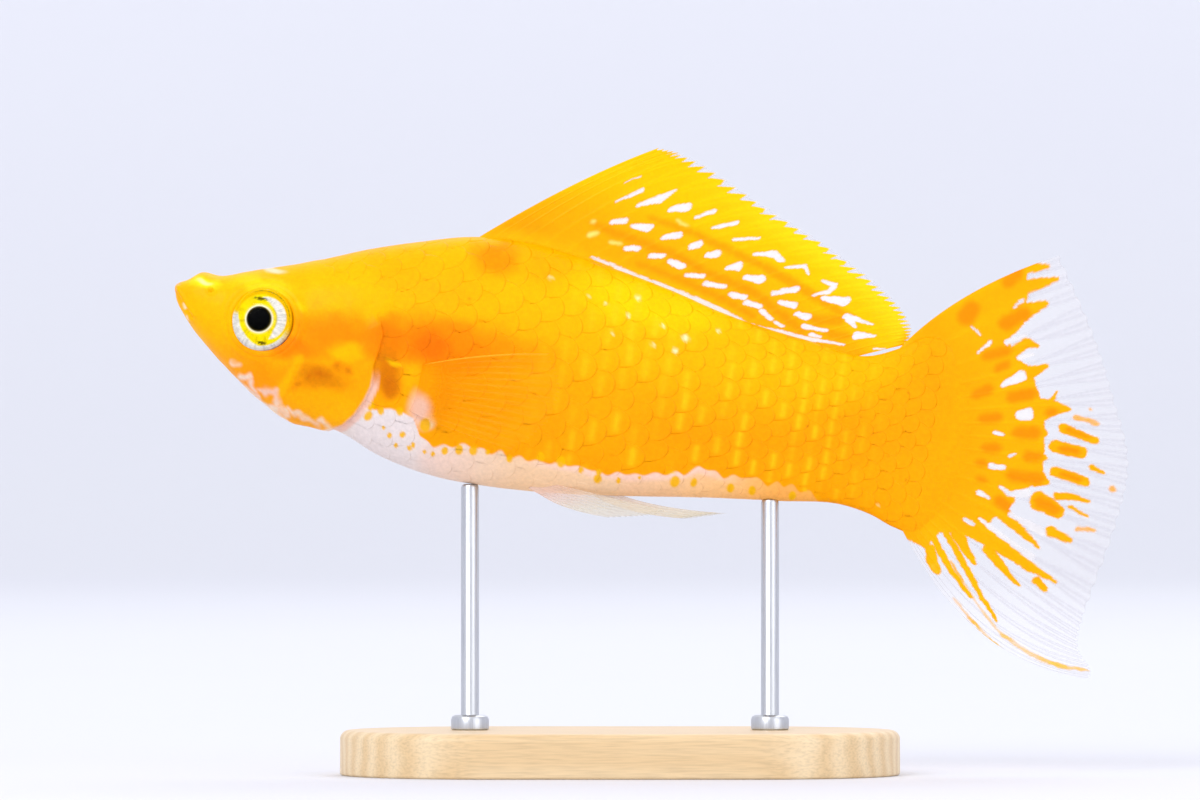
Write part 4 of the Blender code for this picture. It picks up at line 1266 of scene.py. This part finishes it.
CAUDAL_WINDOWS = (
    (1006, 343, 3.2, 1027, 336, 1.8), (1019, 358, 2.3, 1033, 354, 1.5), (1002, 386, 2.6, 1023, 375, 6.2),
    (1018, 416, 5, 1030, 414, 6.7), (994, 432, 2.6, 1003, 435, 1.8), (990, 466, 3.5, 1005, 468, 2.6),
    (1009, 456, 1.8, 1016, 454, 1.2), (999, 486, 1.8, 1009, 494, 2.6, 1028, 493, 5),
    (978, 492, 3.2, 990, 498, 1.8), (965, 519, 2.6, 974, 525, 1.8),
    (979, 518, 1.8, 997, 533, 2.6, 1033, 558, 3.5), (977, 353, 1.2, 991, 341, 2.3),
    (1013, 308, 1.2, 1024, 300, 2.3), (971, 326, 1.2, 981, 335, 1.2), (1009, 514, 2.6, 1044, 533, 4.1),
)
CAUDAL_OVALS = (
    (964, 319, 9.4, 974, 306, 7.6), (1006, 284, 5.9, 1021, 271, 5.3), (1003, 325, 7, 1027, 312, 7),
    (984, 356, 4.7, 1009, 350, 5), (996, 370, 3.8, 1009, 363, 3.5), (973, 396, 3.8, 991, 388, 5.3),
    (1009, 398, 5.3, 1034, 393, 5.6), (980, 419, 4.4, 1000, 417, 4.7), (1015, 433, 5.6, 1038, 433, 6.2),
    (983, 448, 4.1, 999, 448, 4.4), (977, 462, 3.2, 986, 464, 3.2), (1025, 456, 4.7, 1041, 457, 4.1),
    (1009, 475, 5.6, 1042, 479, 5.6), (977, 478, 2.9, 986, 481, 2.9), (997, 500, 5.6, 1011, 509, 5),
    (1038, 501, 6.5, 1058, 511, 4.4), (1048, 413, 4.7, 1058, 411, 2.9), (1066, 429, 2, 1090, 438, 1),
    (1060, 448, 3.5, 1080, 452, 3), (1060, 474, 2, 1082, 480, 2),
)


def paint_caudal(v, u, ray, place):
    """Solid gold out to a line, fingers and loose streaks beyond it, deeper ovals and clear windows in it,
    thin curved streamers along the lower lobe, and a clear outer part with fine rays."""
    x, z = worn(place, 51)
    beyond, _ = from_line(x, z, CAUDAL_SOLID)
    gold_share = smooth(0.1, -0.1, beyond)
    gold_share = np.maximum(gold_share, drawn(x, z, CAUDAL_FINGERS, 1.1, 0.0, 0.6))
    gold_share = np.maximum(gold_share, 0.5 * drawn(x, z, CAUDAL_FAINT, 1.5))
    windows = drawn(x, z, CAUDAL_WINDOWS)
    gold_share = gold_share * (1 - windows)
    streamers = drawn(x, z, CAUDAL_STREAMERS, 1.4) * (0.45 + 0.55 * smooth(-0.4, 0.2, cloud(x, z, 1.3, 56)))
    gold_share = np.maximum(gold_share, 0.7 * streamers)
    gold = mixed("#FFA000", "#FFAE00", smooth(0.1, 0.45, u))
    gold = mixed(gold, "#FFB600", smooth(0.55, 0.8, v))
    gold = mixed(gold, "#FF8A00", 0.85 * drawn(x, z, CAUDAL_OVALS, 4.0, 0.0, 0.5))
    gold = mixed(gold, "#F2C840", streamers * smooth(0.35, 0.6, u))
    root = pigment(np.minimum(place[..., 0], 80.0), place[..., 2], -1)
    gold = mixed(root, gold, smooth(0.08, 0.3, u))
    gold = gold * (1 - 0.05 * (1 - ray) * smooth(0.15, 0.35, u) + 0.02 * cloud(x, z, 0.6, 55))[..., None]
    return fin_colours(gold, np.clip(gold_share, 0, 1), ray, 0.6 * windows)


def paint_anal(v, u, ray, place):
    """The male's slim anal fin: pale tan and half clear."""
    colour = mixed("#EFD8C0", "#E0D4B8", smooth(0.2, 0.9, u))
    return mixed(colour, "#D2C09C", 0.4 * ray), 0.45 + 0.25 * ray


def fin_finish(name, roughness):
    """Fin membrane: thin wet skin, gold where it holds pigment and clear elsewhere, whose fine grain breaks
    its faint gloss."""
    material, shader, _, grain = pigmented(
        name,
        {"Scale": 3500.0, "Detail": 3.0},
        (0.3, 0.7, 0.96, 1.03),
        Roughness=roughness,
        IOR=1.4,
        Specular_IOR_Level=0.07,
        Coat_Weight=0.03,
        Coat_Roughness=0.2,
        Coat_IOR=1.38,
    )
    opacity = node(material, "Attribute", "Fac", attribute_name="opacity")
    bump = node(material, "Bump", Strength=0.2, Distance=0.00002, Height=grain)
    join(material, shader, Alpha=opacity, Normal=bump)
    return material


gold_membrane = fin_finish("gold_fin_membrane", 0.4)
clear_membrane = fin_finish("clear_fin_membrane", 0.32)
dorsal_form = fin_form(DORSAL_GUIDES, DORSAL_RAYS, DORSAL_GRID, DORSAL_SWEEP, 0.5, 0.025)
make_fin("dorsal_fin_skin", "dorsal_fin", dorsal_form, paint_dorsal, gold_membrane)
caudal_form = fin_form(CAUDAL_GUIDES, CAUDAL_RAYS, CAUDAL_GRID, CAUDAL_SWEEP, 0.3, 0.012)
make_fin("caudal_fin_skin", "caudal_fin", caudal_form, paint_caudal, gold_membrane)
anal_form = fin_form(ANAL_GUIDES, ANAL_RAYS, ANAL_GRID, 0.0, 0.8, 0.06, 0.2)
make_fin("anal_fin_skin", "anal_fin", anal_form, paint_anal, clear_membrane)


# Paired fins
# The pectoral fins stand out behind the gill covers, soft gold and half clear, and the pelvic fins lie
# along the belly, nearly clear. Each is made in its own frame at its root and then set on its side.

PECTORAL_GUIDES = (
    (0, 2.3, 7, 5, 13.8, 6), (0, 1, 7.6, 2.4, 15.4, 2.9),
    (0, -0.6, 7.2, -0.8, 14.6, -0.9), (0, -2.2, 5.8, -3.4, 11.6, -4.3),
)
PECTORAL_RAYS = 14
PECTORAL_GRID = (81, 61)
PECTORAL_SUNK = 1.1
PECTORAL_ROOT = (24.8, 5.5, -6.0)
PECTORAL_TURN = (math.radians(6.0), math.radians(12.0))
PELVIC_GUIDES = (
    (0, 0.6, 5.8, 0.1, 13.2, -0.3), (-0.4, 0, 4.8, -1.1, 11.4, -1.1),
    (-0.9, -0.5, 2.6, -2.2, 7.6, -2),
)
PELVIC_RAYS = 8
PELVIC_GRID = (49, 49)
PELVIC_SUNK = 0.4
PELVIC_ROOT = (39.2, 1.7, -13.2)
PELVIC_TURN = (math.radians(14.0), math.radians(3.0))
# Sweep, where the rays fork, notch, and the root's thickness and reach
PAIRED_SHAPE = (0.0, 0.45, 0.04, 0.3, 0.16)


def paint_pectoral(v, u, ray, place):
    """Nearly clear gold, with fine paler rays, a firmer pale front edge and a soft root that has the
    flesh's own colours."""
    flank = pigment(place[..., 0], place[..., 2], -1)
    colour = mixed(flank, "#FF9E00", 0.5 * smooth(0.15, 0.4, u) * smooth(1.0, 0.6, u))
    colour = mixed(colour, "#FFBE40", 0.4 * ray * smooth(0.2, 0.45, u))
    root = smooth(0.34, 0.1, u)
    edge = smooth(0.03, 0.01, v)
    colour = mixed(colour, "#FFC838", 0.6 * edge * smooth(0.05, 0.2, u))
    opacity = 0.12 + 0.14 * ray * smooth(0.15, 0.4, u) + 0.6 * root
    opacity = np.maximum(opacity, 0.55 * edge)
    return colour, opacity * (1 - 0.75 * smooth(0.5, 1.0, u))


def paint_pelvic(v, u, ray, place):
    """Half clear, pink at the root and pale buff at the tip, with fine rays."""
    colour = mixed("#F4D2C0", "#E6E0CC", smooth(0.1, 0.7, u))
    opacity = 0.26 + 0.14 * ray + 0.45 * smooth(0.3, 0.0, u)
    return mixed(colour, "#DCCDB6", 0.4 * ray), opacity * (1 - 0.4 * smooth(0.5, 1.0, u))


PAIRED = (
    (
        "pectoral_fin", fin_form(PECTORAL_GUIDES, PECTORAL_RAYS, PECTORAL_GRID, *PAIRED_SHAPE),
        PECTORAL_ROOT, PECTORAL_TURN, PECTORAL_SUNK, paint_pectoral, gold_membrane, "gold_fin",
    ),
    (
        "pelvic_fin", fin_form(PELVIC_GUIDES, PELVIC_RAYS, PELVIC_GRID, *PAIRED_SHAPE),
        PELVIC_ROOT, PELVIC_TURN, PELVIC_SUNK, paint_pelvic, clear_membrane, "clear_fin",
    ),
)
for fin_name, fin_shape, fin_root, (lean, flare), sunk, paint, membrane, fin_slot in PAIRED:
    for side, label in SIDES:

        def set_on_side(points):
            """Sunk in the flesh over its first 2 mm, turned to its lean and flare, and moved to its root."""
            inwards = side * sunk * smooth(2.2, 0.0, points[..., :1])
            points = turned(points - inwards * (0, 1, 0), -side * lean, side * flare)
            return points + (fin_root[0], side * fin_root[1], fin_root[2])

        solid = f"{fin_name}_{label}"
        make_fin(f"{solid}_skin", solid, fin_shape, paint, membrane, set_on_side)


# Stand
# A maple base with round ends and a softened edge, oiled satin, and two brushed steel rods let into it,
# each with a small turned collar at its foot. Their tops reach the belly.

BASE_LENGTH = 56.0
BASE_WIDTH = 30.0
BASE_HEIGHT = 4.5
BASE_EDGE = 0.9
BASE_LOW_EDGE = 0.3
BASE_AROUND = 192
ROD_RADIUS = 0.9
ROD_FEET_X = (-15.0, 15.0)
ROD_TOPS = (29.1, 27.6)
COLLAR_RADIUS = 1.9
COLLAR_HEIGHT = 1.5
ROD_FOOT = BASE_HEIGHT - 2.2
POST_AROUND = 64


def stacked(across, along, height):
    """Closed rings of points one above another, with a flat face at each end. Returns points and faces."""
    points = np.stack([across, along, height + 0 * across], -1)
    rings, around = across.shape
    here = np.arange(around)
    caps = [here[::-1].tolist(), (here + (rings - 1) * around).tolist()]
    return points.reshape(-1, 3), ring_quads(rings, around)[0].tolist() + caps


def make_base():
    """A stadium outline carried up a profile: flat underneath, straight sides and quarter-round edges."""
    around = 2 * np.pi * (np.arange(BASE_AROUND) + 0.5) / BASE_AROUND
    quarter = np.linspace(0, np.pi / 2, 9)
    rise, run = np.sin(quarter), np.cos(quarter)
    inset = np.concatenate([
        [0.6, BASE_LOW_EDGE],
        BASE_LOW_EDGE * (1 - rise[1:]),
        BASE_EDGE * (1 - run),
        [BASE_EDGE + 0.5, BASE_EDGE + 4.0],
    ])
    height = np.concatenate([
        [0, 0],
        BASE_LOW_EDGE * (1 - run[1:]),
        BASE_HEIGHT - BASE_EDGE * (1 - rise),
        [BASE_HEIGHT, BASE_HEIGHT],
    ])
    reach = BASE_WIDTH / 2 - inset[:, None]
    straight = (BASE_LENGTH - BASE_WIDTH) / 2
    across = straight * np.sign(np.cos(around)) + reach * np.cos(around)
    return stacked(across, reach * np.sin(around), height[:, None])


def turned_post(centre_x, profile):
    """A closed turned post from radius and height pairs, bottom to top."""
    around = np.linspace(0, 2 * np.pi, POST_AROUND, endpoint=False)
    radius, height = np.array(profile).T[..., None]
    return stacked(centre_x + radius * np.cos(around), radius * np.sin(around), height)


# Maple, planed, sanded and oiled: pale cream wood with growth lines 1 to 2 mm apart along its length and
# short darker flecks.
maple, maple_shader, maple_place = finish(
    "oiled_maple", Roughness=0.45, IOR=1.5, Coat_Weight=0.15, Coat_Roughness=0.3
)
maple_long = node(maple, "Mapping", Vector=maple_place, Scale=(0.08, 1.0, 1.0), Rotation=(0.0, 0.06, 0.03))
maple_rings = node(
    maple, "TexWave", "Fac", bands_direction="Y", Vector=maple_long, Scale=160.0, Distortion=5.0, Detail=2.0
)
maple_thin = node(maple, "Mapping", Vector=maple_place, Scale=(0.05, 1.0, 1.0))
maple_fibre = node(maple, "TexNoise", Vector=maple_thin, Scale=5200.0, Detail=4.0)
maple_base = node(maple, "MixRGB", Fac=maple_rings, Color1=rgba("#E9D0A6"), Color2=rgba("#DDBE8E"))
maple_mark = node(maple, "MapRange", Value=maple_fibre, in_1=0.42, in_2=0.7, in_3=1.03, in_4=0.86)
maple_tinted = node(maple, "MixRGB", blend_type="MULTIPLY", Fac=1.0, Color1=maple_base, Color2=maple_mark)
maple_bump = node(maple, "Bump", Strength=0.2, Distance=0.00005, Height=maple_fibre)
join(maple, maple_shader, Base_Color=maple_tinted, Normal=maple_bump)

base_points, base_faces = make_base()
base = piece("stand_base_wood", base_points / 1000, *facing(base_points, base_faces), maple)
base.data.set_sharp_from_angle(angle=math.radians(50))
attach(base, "root")
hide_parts("stand_base")

# Steel, drawn and brushed along its length: fine lines 0.1 mm apart that stretch the lights.
steel, steel_shader, steel_place = finish("brushed_steel", Metallic=1.0, Roughness=0.3)
steel_long = node(steel, "Mapping", Vector=steel_place, Scale=(1.0, 1.0, 0.02))
steel_lines = node(steel, "TexNoise", Vector=steel_long, Scale=9000.0, Detail=2.0)
steel_colour = node(steel, "MixRGB", Fac=steel_lines, Color1=rgba("#B4B6BA"), Color2=rgba("#D6D8DA"))
steel_rough = node(steel, "MapRange", Value=steel_lines, in_3=0.24, in_4=0.42)
steel_bump = node(steel, "Bump", Strength=0.15, Distance=0.00003, Height=steel_lines)
join(steel, steel_shader, Base_Color=steel_colour, Roughness=steel_rough, Normal=steel_bump)

for rod_label, rod_x, rod_top in zip(("front", "rear"), ROD_FEET_X, ROD_TOPS):
    collar_top = BASE_HEIGHT + COLLAR_HEIGHT
    rod_profile = (
        (ROD_RADIUS, ROD_FOOT), (ROD_RADIUS, BASE_HEIGHT - 0.05), (COLLAR_RADIUS - 0.15, BASE_HEIGHT - 0.02),
        (COLLAR_RADIUS, BASE_HEIGHT + 0.15), (COLLAR_RADIUS, collar_top - 0.45),
        (COLLAR_RADIUS - 0.12, collar_top - 0.15), (COLLAR_RADIUS - 0.4, collar_top),
        (ROD_RADIUS + 0.02, collar_top + 0.02), (ROD_RADIUS, collar_top + 0.05),
        (ROD_RADIUS, rod_top - 0.35), (ROD_RADIUS - 0.1, rod_top - 0.1), (ROD_RADIUS - 0.3, rod_top),
    )
    rod_points, rod_faces = turned_post(rod_x, rod_profile)
    rod_faces, _ = facing(rod_points, rod_faces)
    rod = piece(f"stand_rod_{rod_label}_steel", rod_points / 1000, rod_faces, None, steel)
    rod.data.set_sharp_from_angle(angle=math.radians(35))
    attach(rod, "root")
    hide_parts(f"stand_rod_{rod_label}")
